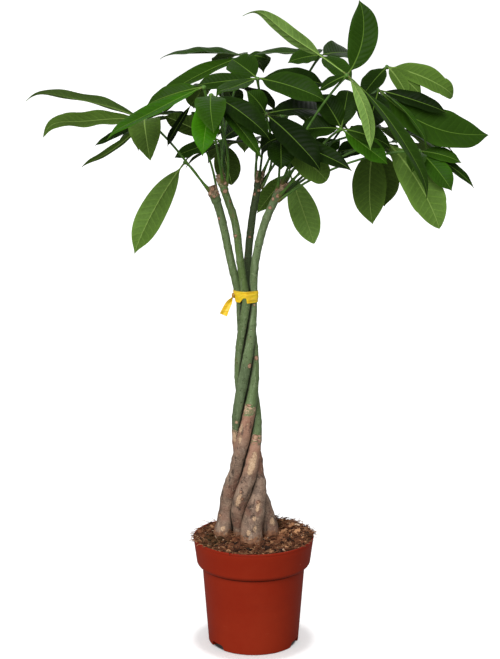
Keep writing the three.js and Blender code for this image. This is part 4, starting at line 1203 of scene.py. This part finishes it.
def addBand(skin):
    # the band round the stems; its lower edge climbs towards the front and drops where the stems cross
    angles = evenTurns(tie["turns"])
    lift = tie["lift"] * smooth(*tie["liftRise"], np.degrees(angles)) * smooth(*tie["liftFall"], np.degrees(angles))
    outer, inner = [], []
    for share in np.arange(tie["levels"]) / (tie["levels"] - 1):
        z = tie["level"] + tie["height"] * (share - 0.5)
        middle, reach = hullLine(z, angles)
        drift = share * tie["pleats"] + 0.35 * np.sin(angles * 2 + 0.6)
        pleat = tie["pleatRise"] * np.abs(np.sin(math.pi * drift)) ** 0.7
        pleat += 0.25 * np.sin(angles * 5 + share * 4) * np.sin(math.pi * share)
        roll = 0.25 * math.sin(math.pi * share)
        for rows, room in ((outer, 0.55 + pleat * 0.8 + roll), (inner, 0.1)):
            x, y = (middle[i] + (reach + room) * way(angles) for i, way in enumerate((np.cos, np.sin)))
            rows.append(np.stack([x, y, z + lift * (1 - share)], -1))
    around = np.stack(outer + inner[::-1], 1)
    at = np.arange(around.shape[0] * around.shape[1]).reshape(around.shape[:2])
    following = np.roll(at, -1, axis=0)
    faces = np.stack([at, following, np.roll(following, -1, axis=1), np.roll(at, -1, axis=1)], -1)
    addLump(skin, around.reshape(-1, 3), faces.reshape(-1, 4).tolist(), shade=0.0)
    return around[:, :, 0].min()


def addKnot(skin, knot):
    # a small folded lump of ribbon
    steps = np.linspace(0.03, 0.97, 15) * math.pi
    size = tie["knotRadius"]
    lump = knot + np.stack([0.25 * np.sin(steps * 3), 0 * steps, -np.cos(steps) * size * 1.15], -1)
    rings, turns = ringsAlong(lump, np.sin(steps) * size, 24)
    rings += (0.35 * np.sin(turns * 4 + steps[:, None] * 3))[:, :, None] * unit(rings - knot)
    # painted shade darkens the whole knot
    addTube(skin, rings, shade=0.85)


def addTail(skin, side):
    # the loose end: a curled strip that turns as it hangs
    path, last = [side + vec(*place) for place in tie["tail"]], tie["tailSteps"]
    path = np.concatenate([[path[0]], easedCurve(path, last)])
    share = np.linspace(0, 1, len(path))
    slant = unit(vec(*tie["slant"]))
    rings = []
    for place, t in zip(path, share):
        ahead = unit(path[min(int(t * last) + 1, last)] - path[max(int(t * last) - 1, 0)])
        twist = math.radians(mix(*tie["tailTurn"], float(smooth(0.05, 0.65, t))))
        across = turnAbout(slant - ahead * slant.dot(ahead) * 0.6, ahead, twist)
        face = unit(np.cross(ahead, across))
        wide = tie["tailWidth"] * (0.5 + 0.45 * t)
        spots = np.linspace(-1, 1, 9)
        row = []
        for room, order in ((tie["strip"], spots), (-tie["strip"], spots[::-1])):
            for s in order:
                bend = 0.9 * s * s - 0.5 + 0.3 * math.sin(s * 5 + t * 6)
                row.append(place + across * s * wide / 2 + face * (bend + room))
        rings.append(row)
    # painted shade darkens the loose end near the knot
    addTube(skin, np.array(rings), shade=(smooth(0.35, 0, share) * 0.9)[:, None])


def makeTie():
    skin = newSkin()
    side = vec(addBand(skin) + 2, 0, tie["level"])
    addKnot(skin, side + vec(-0.5, -1, 1))
    addTail(skin, side)
    addPiece("ribbonTie", skin, [makeTieMaterial()], ["tie"], 40)


makeTie()
print("tie made")
